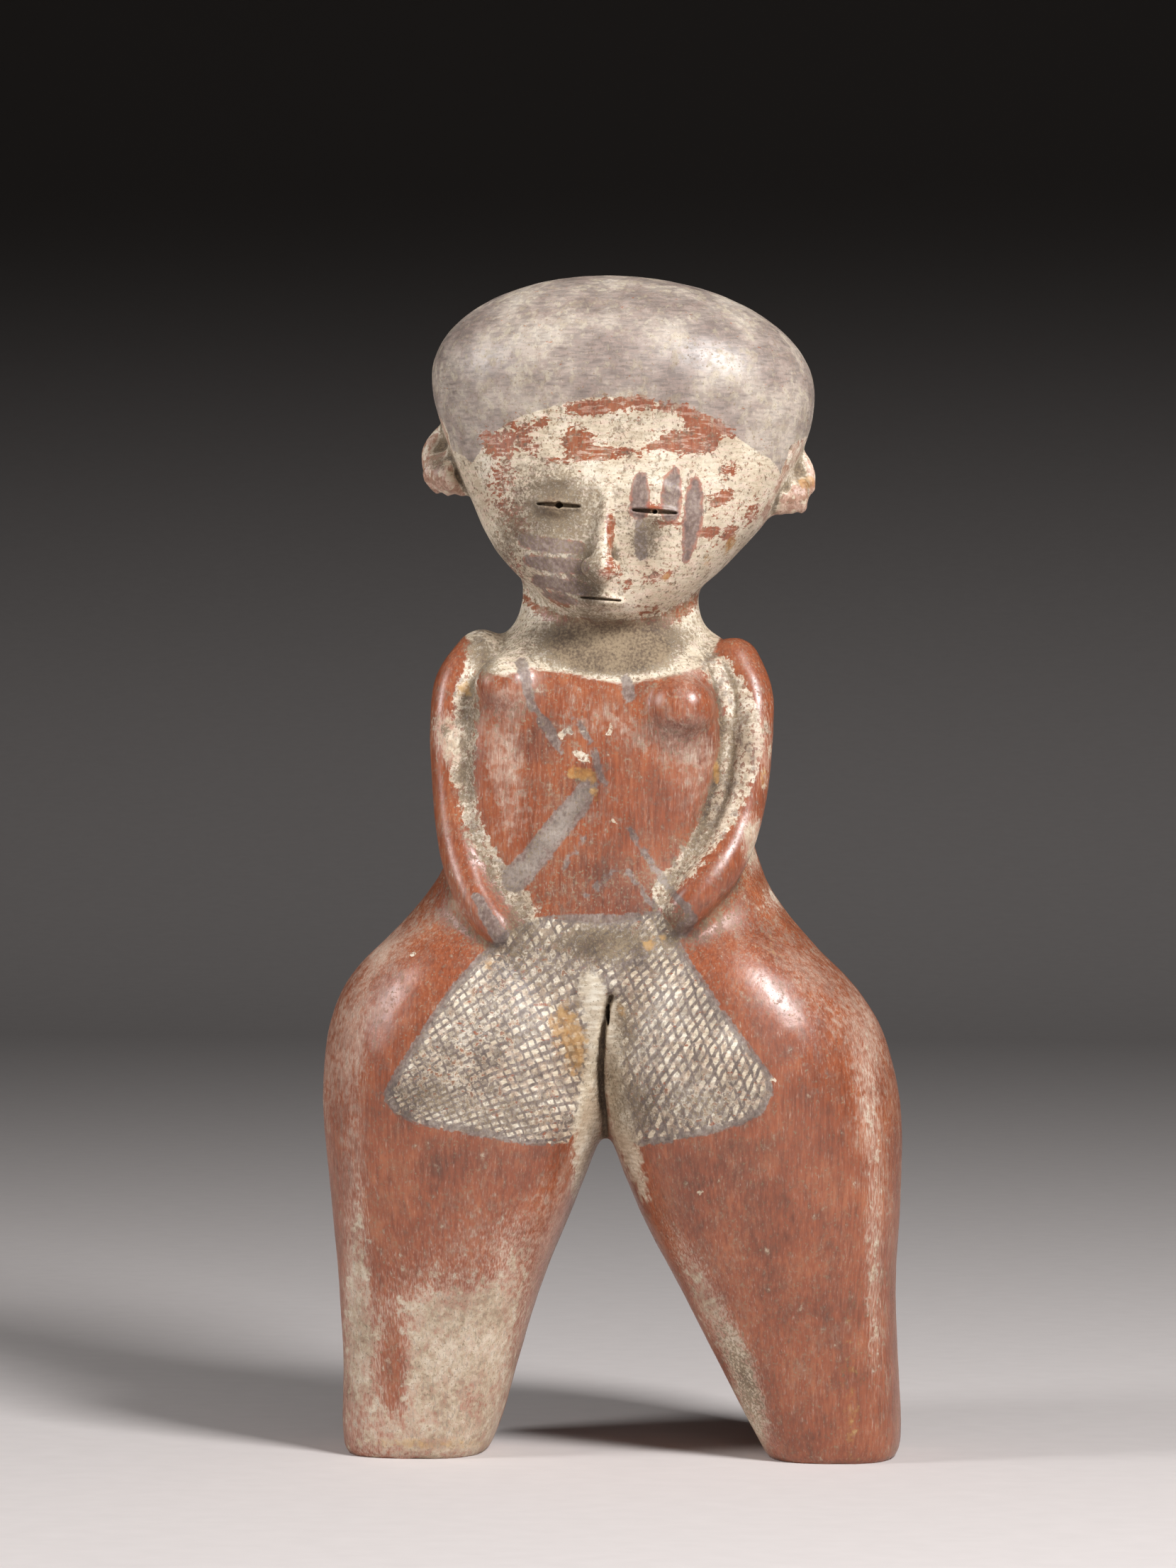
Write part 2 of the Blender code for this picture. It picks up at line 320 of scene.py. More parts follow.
@dataclass(frozen=True)
class HeadAxes:
    """The leaning head's own axes, in millimetres: x to its left, y to its back and z to its crown."""

    middle: tuple[float, float, float] = (6.2, -0.4, 634.5)
    lean_degrees: float = 4.0
    chin: float = -142.0
    hairline: float = -10.0
    face_middle: float = 2.0

    def turn(self) -> np.ndarray:
        """The rotation from the head's axes to the figure's."""
        cosine, sine = math.cos(math.radians(self.lean_degrees)), math.sin(math.radians(self.lean_degrees))
        return np.array([[cosine, 0, sine], [0, 1, 0], [-sine, 0, cosine]])

    def to_head(self, places: np.ndarray) -> np.ndarray:
        """Places in the figure's axes, read in the head's."""
        return (places - self.middle) @ self.turn()

    def to_figure(self, places: np.ndarray) -> np.ndarray:
        """Places in the head's axes, read in the figure's."""
        return places @ self.turn().T + self.middle

    def height(self, share: float) -> float:
        """The height of a share of the way from the chin to the hairline."""
        return self.chin + share * (self.hairline - self.chin)


HEAD = HeadAxes()


@dataclass(frozen=True)
class Slit:
    """A lens-shaped cut with thin raised lips, made in leather-hard clay, in the head's axes."""

    name: str
    x: float
    z: float
    half_length: float
    half_height: float
    depth: float
    lip: float
    lip_width: float
    tilt_degrees: float = 0.0
    vent: float = 0.0

    def push(self, places: np.ndarray) -> np.ndarray:
        """How far into the head each place moves, in millimetres, and negative for the lips.

        Args:
            places: One row for each place, in the head's axes.

        Returns:
            One distance for each place.
        """
        turn = math.radians(self.tilt_degrees)
        across, up = places[:, 0] - self.x, places[:, 2] - self.z
        along = across * math.cos(turn) + up * math.sin(turn)
        over = up * math.cos(turn) - across * math.sin(turn)
        share = np.clip(1.0 - (along / self.half_length) ** 2, 0.0, 1.0)
        opening = self.half_height * share**0.7
        beyond = np.maximum(np.abs(along) - self.half_length, 0.0)
        gap = np.hypot(np.maximum(np.abs(over) - opening, 0.0), beyond)
        cut = self.depth * (1.0 - smooth_step(gap, 0.0, 0.7)) * smooth_step(share, 0.0, 0.25)
        lips = self.lip * np.exp(-(((gap - 0.45 * self.lip_width) / (0.42 * self.lip_width)) ** 2))
        lips *= np.where(over > 0, 0.7, 1.0) * smooth_step(share + 0.12, 0.0, 0.3)
        hole = 2.0 * self.depth * (1.0 - smooth_step(np.hypot(along, over), self.vent - 0.4, self.vent + 0.3))
        return cut - lips * (places[:, 1] < -40) + (hole if self.vent else 0.0)

    def near(self, places: np.ndarray, margin: float) -> np.ndarray:
        """Which places lie near the slit, on the front of the head."""
        reach = np.hypot(
            (places[:, 0] - self.x) / (self.half_length + margin), (places[:, 2] - self.z) / margin
        )
        return (reach < 1.0) & (places[:, 1] < -40)


@dataclass(frozen=True)
class Vent:
    """A pricked hole, in the figure's axes, pushed along a direction."""

    name: str
    place: tuple[float, float, float]
    radius: float
    tall: float
    depth: float
    into: tuple[float, float, float]

    def gap(self, places: np.ndarray) -> np.ndarray:
        """How far each place is from the hole's middle line, as a share of its radius.

        Args:
            places: One row for each place, in the figure's axes.

        Returns:
            One share for each place.
        """
        away = (places - self.place) * (1.0, 1.0, 1.0 / self.tall)
        into = np.array(self.into) / np.linalg.norm(self.into)
        along = away @ into
        return np.where(
            np.abs(along) < 14.0, np.linalg.norm(away - along[:, None] * into, axis=1) / self.radius, 99.0
        )

    def push(self, places: np.ndarray) -> np.ndarray:
        """How each place moves, in millimetres."""
        into = np.array(self.into) / np.linalg.norm(self.into)
        return (self.depth * (1.0 - smooth_step(self.gap(places), 0.8, 1.15)))[:, None] * into


@dataclass(frozen=True)
class Roll:
    """A roll of soft clay: x, y, z and radius of points along its middle."""

    name: str
    points: tuple[Spot, ...]
    on_head: bool = True

    def middle_line(self) -> np.ndarray:
        """The points of its middle line in the figure's axes."""
        spots = np.array([point[:3] for point in self.points], float)
        return HEAD.to_figure(spots) if self.on_head else spots


@dataclass
class ClayRolls:
    """Rolls of clay pressed on to the body, made as overlapping beads along smooth paths."""

    bead_spacing: float = 0.7
    rolls: list[Roll] = field(default_factory=list)

    def paths(self) -> bpy.types.Object:
        """The rolls' middle lines as one object of edges, with a thickness at each point.

        Returns:
            The object.
        """
        data = bpy.data.meshes.new("roll_paths")
        spots, edges, thickness = [], [], []
        for roll in self.rolls:
            first = len(spots)
            spots += [tuple(spot * MM) for spot in roll.middle_line()]
            thickness += [point[3] * MM for point in roll.points]
            edges += [(first + step, first + step + 1) for step in range(len(roll.points) - 1)]
        data.from_pydata(spots, edges, [])
        data.attributes.new("thickness", "FLOAT", "POINT").data.foreach_set("value", thickness)
        return new_object("roll_paths", data)

    def tree(self) -> tuple[bpy.types.NodeTree, dict[str, str]]:
        """The nodes that lay beads along the paths, and the identifiers of their named inputs.

        Returns:
            The node tree, and each input name with its identifier.
        """
        made = bpy.data.node_groups.new("rolls_of_clay", "GeometryNodeTree")
        made.interface.new_socket("Geometry", in_out="OUTPUT", socket_type="NodeSocketGeometry")
        kinds = {"Geometry": "Geometry", "Bead Spacing": "Float", "Clay": "Material"}
        names = {
            name: made.interface.new_socket(name, in_out="INPUT", socket_type=f"NodeSocket{kind}").identifier
            for name, kind in kinds.items()
        }
        given = put(made, "NodeGroupInput").outputs
        line = put(made, "GeometryNodeMeshToCurve", given["Geometry"])
        bend = put(made, "GeometryNodeCurveSplineType", line, spline_type="CATMULL_ROM")
        even = put(made, "GeometryNodeResampleCurve", bend, Length=given["Bead Spacing"], mode="LENGTH")
        bead = put(made, "GeometryNodeMeshIcoSphere", Radius=1.0, Subdivisions=3)
        size = put(made, "GeometryNodeInputNamedAttribute", "thickness", data_type="FLOAT")
        strung = put(made, "GeometryNodeInstanceOnPoints", even, Instance=bead, Scale=size)
        real = put(made, "GeometryNodeRealizeInstances", strung)
        put(made, "NodeGroupOutput", put(made, "GeometryNodeSetMaterial", real, Material=given["Clay"]))
        return made, names

    def build(self, clay: bpy.types.Material) -> bpy.types.Mesh:
        """The beads of all the rolls as one plain mesh.

        Args:
            clay: The material.

        Returns:
            The mesh.
        """
        paths = self.paths()
        tree, names = self.tree()
        beads = paths.modifiers.new("beads", "NODES")
        beads.node_group = tree
        beads[names["Bead Spacing"]] = self.bead_spacing * MM
        beads[names["Clay"]] = clay
        data = evaluated_mesh(paths)
        bpy.data.objects.remove(paths)
        return data


@dataclass
class HandWork:
    """The slight unevenness of coiled, pressed and scraped walls, as a surface relief."""

    seed: int = 11
    swell: float = 0.9
    swell_size: float = 46.0
    dents: float = 0.35
    dents_size: float = 11.0

    def tree(self) -> tuple[bpy.types.NodeTree, dict[str, str]]:
        """The nodes that move the skin by two noises, and the identifiers of their named inputs.

        Returns:
            The node tree, and each input name with its identifier.
        """
        made = bpy.data.node_groups.new("hand_worked_surface", "GeometryNodeTree")
        made.interface.new_socket("Geometry", in_out="OUTPUT", socket_type="NodeSocketGeometry")
        kinds = {
            "Geometry": "Geometry", "Swell": "Float", "Swell Size": "Float", "Dents": "Float",
            "Dents Size": "Float", "Seed": "Float", "Clay": "Material",
        }
        names = {
            name: made.interface.new_socket(name, in_out="INPUT", socket_type=f"NodeSocket{kind}").identifier
            for name, kind in kinds.items()
        }
        given = put(made, "NodeGroupInput").outputs
        place = put(made, "GeometryNodeInputPosition")
        total = put(made, "ShaderNodeValue")
        for amount, size in (("Swell", "Swell Size"), ("Dents", "Dents Size")):
            scale = put(made, "ShaderNodeMath", 1.0, given[size], operation="DIVIDE")
            noise = put(
                made, "ShaderNodeTexNoise", place, W=given[
                    "Seed"
                ], Scale=scale, Detail=1.0, noise_dimensions="4D"
            )
            level = put(made, "ShaderNodeMath", noise, 0.5, operation="SUBTRACT")
            total = put(made, "ShaderNodeMath", level, given[amount], total, operation="MULTIPLY_ADD")
        out = put(made, "GeometryNodeInputNormal")
        shift = put(made, "ShaderNodeVectorMath", out, Scale=total, operation="SCALE")
        moved = put(made, "GeometryNodeSetPosition", given["Geometry"], Offset=shift)
        real = put(made, "GeometryNodeRealizeInstances", moved)
        put(made, "NodeGroupOutput", put(made, "GeometryNodeSetMaterial", real, Material=given["Clay"]))
        return made, names

    def work(self, thing: bpy.types.Object, clay: bpy.types.Material) -> None:
        """Moves the object's skin and applies the result.

        Args:
            thing: The object.
            clay: The material.
        """
        tree, names = self.tree()
        relief = thing.modifiers.new("hand_work", "NODES")
        relief.node_group = tree
        sizes = {
            "Swell": self.swell * MM, "Swell Size": self.swell_size * MM, "Dents": self.dents * MM,
            "Dents Size": self.dents_size * MM, "Seed": float(self.seed), "Clay": clay,
        }
        for name, value in sizes.items():
            relief[names[name]] = value
        applied(thing)


@dataclass
class ClayFigure:
    """The figure's clay body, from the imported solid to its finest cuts. Sizes are in millimetres."""

    facet_voxel: float = 2.0
    facet_passes: int = 30
    fuse_voxel: float = 1.55
    fuse_passes: int = 3
    body_triangles: int = 165_000
    fine_edge: float = 0.75
    seam_depth: float = 9.0
    seam_width: float = 1.9
    sole_height: float = 0.7

    limbs: tuple[Roll, ...] = (
        Roll("right_arm", (
            (-77, -13, 473, 16.6), (-90, -23, 456, 14.2), (-93.5, -31, 430, 12.3), (-92.5, -35, 400, 11.8),
            (-89.5, -39, 376, 12.3), (-84, -46, 353, 12.8), (-76, -55, 333, 12.4), (-66, -62, 319, 11.5),
            (-59, -65, 312, 9.8),
        ), False),
        Roll("left_arm", (
            (73, -13, 468, 16.6), (83.5, -23, 451, 13.8), (85.5, -31, 428, 12.3), (84, -35, 402, 11.8),
            (80, -39, 380, 12.3), (73, -47, 360, 13.3), (63.5, -56, 344, 13.4), (53, -62, 331, 12.4),
            (46, -64, 322, 10.8),
        ), False),
        Roll("right_breast", ((-60, -44.5, 455, 18.0), (-56, -45, 454, 18.0)), False),
        Roll("left_breast", ((42, -47.5, 443, 19.0), (46, -47.5, 442, 19.0)), False),
        Roll("left_arm_web", (
            (62, -27, 465, 7.0), (68, -31, 450, 7.5), (70.5, -32, 430, 7.5), (69, -34, 402, 7.5),
            (64.5, -38, 380, 7.5), (58, -43, 362, 7.5), (50, -49, 348, 7.0), (43, -54, 338, 6.0),
        ), False),
    )
    right_ear: tuple[Roll, ...] = (
        Roll("hood", ((-99, 3, -28, 4.5), (-108, 2, -36, 4.2), (-113.5, 0, -45, 3.8), (-114, -2, -55, 3.0))),
        Roll(
            "outer_curl",
            ((-103, -6, -50, 2.6), (-110.5, -9, -56, 3.4), (-111.5, -9, -62, 3.4), (-106, -7, -69, 3.0)),
        ),
        Roll(
            "middle_curl",
            ((-100.5, -9, -50, 2.6), (-105.5, -13, -58, 3.4), (-105, -13, -64, 3.4), (-99, -10, -70, 3.0)),
        ),
        Roll(
            "inner_curl",
            ((-97.5, -10, -51, 2.8), (-99.5, -16, -58, 4.2), (-97.5, -16, -65, 4.6), (-90, -11, -69, 3.6)),
        ),
    )
    left_ear: tuple[Roll, ...] = (
        Roll("hood", ((99, 3, -26, 4.5), (108, 2, -34, 4.2), (114.5, 0, -44, 3.8), (116, -2, -54, 3.2))),
        Roll("outer_finger", ((111.5, -7, -51, 3.0), (112.5, -11, -58, 3.3), (112, -8, -66, 3.2))),
        Roll("middle_finger", ((105.5, -9, -51, 3.0), (106.5, -13, -59, 3.3), (106, -10, -67, 3.2))),
        Roll("inner_finger", ((99.5, -10, -52, 3.0), (100.5, -14, -60, 3.4), (99.5, -10, -68, 3.3))),
        Roll("heel", ((92, -6, -64, 3.2), (91.5, -8, -69, 3.0))),
    )
    face: tuple[Roll, ...] = (
        Roll(
            "nose_bridge", ((2, -72.5, -62, 2.6), (2, -76, -76, 3.2), (2, -79, -92, 4.2), (2, -82, -104, 5.6))
        ),
        Roll("nose_tip", ((-4.0, -81.5, -111, 6.0), (2, -83.5, -111.5, 7.8), (8.0, -81.5, -111, 6.0))),
        Roll("brow_right", ((-40, -69, -64, 2.5), (-26, -71, -60.5, 3.0), (-10, -71.5, -62, 2.6))),
        Roll("brow_left", ((44, -69, -64, 2.5), (30, -71, -60.5, 3.0), (14, -71.5, -62, 2.6))),
        Roll("eye_right", ((-34, -69.5, -78, 4.4), (-26, -70.2, -78, 5.2), (-18, -69.8, -78, 4.4))),
        Roll("eye_left", ((38, -69.5, -78, 4.4), (30, -70.2, -78, 5.2), (22, -69.8, -78, 4.4))),
        Roll("mouth", ((-8, -65, -129, 4.0), (2, -66, -129.5, 4.6), (12, -65, -129, 4.0))),
    )
    slits: tuple[Slit, ...] = (
        Slit("right_eye", -26.0, -76.0, 13.5, 0.9, 4.5, 0.9, 2.6, 0.0, 2.0),
        Slit("left_eye", 30.0, -76.0, 13.5, 1.0, 4.5, 1.0, 2.6, 0.0, 1.3),
        Slit("mouth", 2.0, -128.8, 12.5, 0.45, 3.0, 0.35, 2.4, -1.0, 0.0),
    )
    vents: tuple[Vent, ...] = (
        Vent("cap", (109.0, -30.0, 594.0), 1.5, 1.9, 7.0, (-0.9, 0.55, 0.0)),
        Vent("crotch", (2.4, -62.0, 263.0), 1.2, 5.0, 14.0, (0.0, 1.0, 0.0)),
    )
    thigh_seam: Path = (
        (-1.5, 270), (-3.5, 264), (-5.4, 253.7), (-6.7, 240.5), (-7.5, 225), (-6.7, 211.5), (-5, 199),
        (-4.6, 188),
    )

    def copy_of_solid(self) -> bpy.types.Object:
        """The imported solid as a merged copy, with its facets taken out.

        Returns:
            The new object.
        """
        skin = bmesh.new()
        skin.from_mesh(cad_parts["figure"].data)
        bmesh.ops.remove_doubles(skin, verts=skin.verts, dist=0.01 * MM)
        data = bpy.data.meshes.new("soft_figure")
        skin.to_mesh(data)
        skin.free()
        made = new_object("soft_figure", data)
        self.fuse(made, self.facet_voxel)
        soften(made.data, self.facet_passes)
        return made

    def fuse(self, thing: bpy.types.Object, voxel: float) -> None:
        """Makes one even skin of whatever the object holds.

        Args:
            thing: The object.
            voxel: The grain of the skin in millimetres.
        """
        skin = thing.modifiers.new("fuse", "REMESH")
        skin.mode = "VOXEL"
        skin.voxel_size = voxel * MM
        skin.adaptivity = 0.0
        applied(thing)

    def add_lumps(self, thing: bpy.types.Object, clay: bpy.types.Material) -> None:
        """Presses the arms, ears, nose, brows, eyes and mouth on to the softened copy.

        Args:
            thing: The softened copy.
            clay: The material.
        """
        rolls = ClayRolls(rolls=[*self.limbs, *self.right_ear, *self.left_ear, *self.face]).build(clay)
        whole = bmesh.new()
        whole.from_mesh(thing.data)
        whole.from_mesh(rolls)
        whole.to_mesh(thing.data)
        whole.free()
        self.fuse(thing, self.fuse_voxel)
        soften(thing.data, self.fuse_passes, 0.5, 0.0)

    def thin(self, thing: bpy.types.Object) -> None:
        """Takes triangles out where the clay is plain.

        Args:
            thing: The object.
        """
        triangles = sum(len(face.vertices) - 2 for face in thing.data.polygons)
        fewer = thing.modifiers.new("thin", "DECIMATE")
        fewer.ratio = self.body_triangles / triangles
        applied(thing)

    def refine(self, thing: bpy.types.Object) -> None:
        """Splits the long edges round each cut and vent, so that they come out crisp.

        Args:
            thing: The object.
        """
        skin = bmesh.new()
        skin.from_mesh(thing.data)
        for limit in (2.0 * self.fine_edge, 1.4 * self.fine_edge, self.fine_edge):
            skin.verts.ensure_lookup_table()
            places = np.array([vertex.co[:] for vertex in skin.verts]) / MM
            in_head = HEAD.to_head(places)
            near = np.zeros(len(places), bool)
            for slit in self.slits:
                near |= slit.near(in_head, 6.0)
            for vent in self.vents:
                near |= vent.gap(places) < 2.6
            long = [
                edge for edge in skin.edges
                if (
                    near[edge.verts[0].index] or near[edge.verts[1].index]
                ) and edge.calc_length() > limit * MM
            ]
            bmesh.ops.subdivide_edges(skin, edges=long, cuts=1, use_grid_fill=False)
            bmesh.ops.triangulate(skin, faces=[face for face in skin.faces if len(face.verts) > 3])
        skin.to_mesh(thing.data)
        skin.free()

    def cut(self, thing: bpy.types.Object) -> None:
        """Cuts the eyes, the mouth, the vents and the seam between the thighs, and flattens the soles.

        Args:
            thing: The object.
        """
        places = places_of(thing.data)
        in_head = HEAD.to_head(places)
        for slit in self.slits:
            near = slit.near(in_head, 9.0)
            in_head[near, 1] += slit.push(in_head[near])
        places = HEAD.to_figure(in_head)
        for vent in self.vents:
            places += vent.push(places)
        seam = path_distance(FRONT.seen(places), self.thigh_seam)
        front = smooth_step(-places[:, 1], 5.0, 30.0)
        places[:, 1] += self.seam_depth * np.exp(-((seam / self.seam_width) ** 2)) * front
        places[:, 2] = np.where(places[:, 2] < self.sole_height, 0.0, places[:, 2])
        move_to(thing.data, places)

    def build(self, clay: bpy.types.Material) -> bpy.types.Object:
        """The whole figure's clay, unpainted.

        Args:
            clay: The material.

        Returns:
            The finished object.
        """
        figure = self.copy_of_solid()
        self.add_lumps(figure, clay)
        HandWork().work(figure, clay)
        self.thin(figure)
        self.refine(figure)
        self.cut(figure)
        figure.name = figure.data.name = "painted_figure"
        figure.data.shade_smooth()
        return figure


@dataclass(frozen=True)
class FrontView:
    """The view that the painting is drawn in: each place as seen from the front, on the plane of the axis."""

    azimuth: float = 5.0
    distance: float = 3000.0
    height: float = 430.0

    def seen(self, places: np.ndarray) -> np.ndarray:
        """Where each place appears, as one row of x and z.

        Args:
            places: One row for each place, in millimetres.

        Returns:
            One row of x and z for each place.
        """
        turn = math.radians(self.azimuth)
        across = places[:, 0] * math.cos(turn) + places[:, 1] * math.sin(turn)
        nearer = places[:, 0] * math.sin(turn) - places[:, 1] * math.cos(turn)
        size = self.distance / (self.distance - nearer)
        return np.stack([across * size, self.height + (places[:, 2] - self.height) * size], axis=1)


FRONT = FrontView()


@dataclass
class PaintPlan:
    """Where each coat lies, drawn on the front view in millimetres and measured on to the mesh.

    A stroke's points are x, z and half-width. A spot is x, z, half-width, half-height, tilt in degrees and
    strength, and a negative strength leaves the coat thinner there.
    """

    hairline: Path = (
        (-125, 604), (-112, 606), (-97, 597), (-90, 594), (-84, 588.5), (-80, 594), (-76, 600), (-71, 606),
        (-62, 612.5), (-52, 617.5), (-43, 620.5), (-29, 624), (-13, 628), (5, 628.5), (23, 626), (37, 621),
        (57, 614.5), (73, 605), (85, 596.5), (93, 592), (99, 586), (100.5, 580), (104, 580), (109, 584),
        (112, 590), (114, 594), (125, 597),
    )
    nape_line: Path = ((-110, 592), (-60, 578), (0, 570), (60, 566), (115, 578))
    neckline: Path = (
        (-130, 506), (-102, 506), (-96, 494), (-84, 482), (-78, 466), (-66, 461), (-57, 463.5), (-48, 466),
        (-26, 463.5), (-4, 458.5), (10, 457), (26, 460.5), (49, 465), (56, 470), (62, 480), (72, 500),
        (130, 500),
    )
    brow_strokes: tuple[Path, ...] = (
        ((17, 581, 3.6), (16.2, 570, 6.3), (16, 560.5, 5.8)),
        ((38, 585.5, 1.8), (35.8, 578, 5.6), (35.1, 570, 6.4), (34.6, 559, 6.0)),
        ((49.3, 577, 3.6), (49, 569, 5.6), (47.8, 553.5, 6.1), (45.6, 540, 4.4), (43.6, 531, 2.4)),
    )
    cheek_strokes: tuple[Path, ...] = (
        ((-52, 542, 4.2), (-36, 539.5, 4.4), (-20, 538.5, 4.0)),
        ((-50, 530.5, 3.4), (-36, 528, 4.6), (-18, 526.5, 4.4)),
        ((-45, 519, 3.2), (-32, 516, 4.0), (-17, 513.5, 4.0)),
        ((-40, 511, 1.8), (-30, 507.5, 2.6), (-23, 506, 2.2)),
    )
    under_brow: Path = ((17, 553, 3.6), (17, 534, 4.0))
    rubbed: tuple[Spot, ...] = (
        (-10, 622, 19, 5, 6, 1.1), (14, 625, 14, 3.4, -4, 1.0), (35, 621.5, 13, 3.6, -14, 1.0),
        (52, 616, 11, 3.8, -20, 1.0), (66, 609, 9, 3.6, -32, 0.9), (52, 607, 13, 4.2, -46, 1.0),
        (42, 601, 15, 7, -6, 1.1), (56, 604, 8, 8, -30, 0.8), (26, 599, 9, 3, 10, 0.8),
        (-21, 602, 9, 9, 20, 1.0), (-10, 595, 13, 4.6, 4, 0.9), (8, 594, 12, 2.4, 3, 0.8),
        (-34, 590, 12, 2.6, 8, 0.6), (-37, 565, 4, 3.4, 0, 0.9), (-44, 612, 9, 4, 20, 0.6),
        (-50, 600, 5, 8, 30, 0.5), (70, 585, 9, 5, 30, 0.45), (84, 560, 5, 9, -30, 0.5),
        (66, 568, 9, 3.4, 32, 0.85), (58, 547, 7, 3.2, 10, 0.85), (70, 546, 4, 7, -20, 0.6),
        (9, 517, 3, 4, 0, 0.7), (28, 521, 12, 3.6, 12, 0.65), (-32, 507, 8, 4, -24, 0.8),
        (-74, 602, 6, 9, 35, 0.8), (-60, 604, 10, 12, 0, 0.5), (-66, 575, 10, 26, 0, 0.42),
        (-55, 555, 9, 12, 0, 0.42), (-58, 524, 8, 20, 20, 0.36), (66, 556, 18, 26, 0, 0.14),
        (33, 553, 11, 3, 0, 0.6), (20, 500, 14, 4, 12, 0.4), (-1, 551, 3, 9, 0, 0.8),
        (-1.5, 538, 2.4, 14, 0, 0.5), (-2, 525, 9, 7, 0, 0.45), (24, 563, 12, 3, 0, 0.5),
    )
    # Painted shadow under the chin: a band where the cream is taken off to bare the red slip.
    chin_shadow_band: Path = (
        (-54, 510, 1.4), (-44, 501, 2.6), (-27, 493.5, 3.4), (-6, 490, 4.2), (14, 490.5, 4.6),
        (32, 495, 4.2), (46, 504, 3.4), (54, 512, 1.6),
    )
    chest_lines: tuple[Path, ...] = (
        ((-54, 469, 3.2), (-48.5, 445, 1.7), (-44, 438, 1.6), (-40, 433, 3.6), (-36, 426, 2.6),
         (-30.3, 417, 1.6)),
        ((-23.3, 438, 1.5), (-18, 430, 1.1), (-12, 420, 1.6), (-5, 396, 1.6)),
        ((9, 372, 1.2), (18.8, 357, 1.5), (32.8, 336, 1.5), (48, 319, 1.6)),
        ((9, 345.7, 1.2), (25.8, 323, 1.3)), ((-16, 367, 1.1), (-22, 358, 1.6), (-30, 346, 1.3)),
        ((8, 460, 2.6), (10, 450, 3.4)), ((-5, 342, 1.2), (-16, 330, 1.2)), ((1, 347, 1.1), (-7, 333, 1.1)),
    )
    sash: Path = ((-13, 397, 2.6), (-22, 384, 5.2), (-34, 370, 5.2), (-46, 354, 5.4), (-58, 341, 6.0))
    hand_strokes: tuple[Path, ...] = (
        ((-81, 330, 2.0), (-74, 317, 3.8), (-67, 306, 4.4)),
        ((44, 325, 1.6), (47, 316, 3.0), (41, 310, 4.0)),
    )
    right_trough: Path = (
        (-76, 486, 6.5), (-84, 466, 5.0), (-88, 445, 6.8), (-88.5, 424, 6.5), (-89.5, 403, 6.5),
        (-85.5, 382, 5.0), (-78.3, 361, 4.8), (-64, 340, 6.0), (-55, 328, 6.0), (-50, 320, 6.0),
    )
    left_trough: Path = (
        (54, 474, 4.5), (63, 466, 7.5), (75.5, 445, 10.0), (78, 424, 12.5), (74, 403, 11.5), (66, 382, 9.5),
        (53, 361, 7.5), (42, 347, 7.0), (29, 334, 5.5), (33, 323, 4.0),
    )
    apron: Path = (
        (-62, 309), (-45, 318), (-4, 314), (28, 321), (36, 312), (38, 303), (45, 291), (60, 269), (79, 242),
        (94, 223), (95.5, 213), (89, 201), (77, 195), (55, 189), (31, 184), (14, 182), (4, 190), (-1, 205),
        (-3, 225), (-4, 250), (-8, 250), (-10, 228), (-14, 214), (-20, 193), (-27, 183), (-52, 183),
        (-83, 189), (-115, 195), (-129, 201), (-136, 211), (-129, 223), (-115, 245), (-96, 274), (-81, 291),
        (-71, 301),
    )
    apron_border: tuple[Path, ...] = (
        ((-45, 317, 1.5), (-20, 317, 2.8), (-4, 316, 3.6), (14, 318, 2.6), (27, 320, 1.6)),
        ((37, 308, 1.4), (39, 302, 2.0), (45, 291, 2.0), (60, 269, 2.2), (79, 242, 2.2), (93, 223, 2.2),
         (94, 212, 2.0), (88, 202, 2.2), (77, 196, 2.2), (55, 190, 2.4), (31, 185, 2.6), (16, 183, 2.0)),
        ((-62, 309, 2.0), (-81, 291, 2.2), (-96, 274, 2.2), (-115, 245, 2.4), (-129, 223, 2.6),
         (-134, 211, 3.0), (-128, 202, 2.8), (-115, 196, 2.4), (-83, 190, 2.4), (-52, 184, 2.2),
         (-34, 183, 1.6)),
    )
    plain_band: Path = (
        (-12, 277, 8.0), (-9, 262, 8.5), (-8, 245, 7.5), (-10, 225, 8.0), (-13, 206, 8.5), (-15, 190, 8.5),
        (-18, 172, 4.5), (-22, 152, 1.5),
    )
    inner_band: Path = (
        (1, 262, 6.5), (0, 240, 5.5), (0, 220, 6.0), (4, 200, 6.5), (8, 184, 6.5), (14, 166, 4.5),
        (20, 150, 1.0),
    )
    cords: tuple[Path, ...] = (
        ((-8, 284, 1.3), (28, 307, 1.3)), ((-5, 278, 1.3), (27, 300, 1.2)),
        ((-3, 286, 0.9), (-1, 281, 0.9)), ((3, 290, 0.9), (5, 285, 0.9)), ((10, 294, 0.9), (12, 289, 0.9)),
        ((-8, 284, 1.0), (-5, 274, 1.0)),
    )
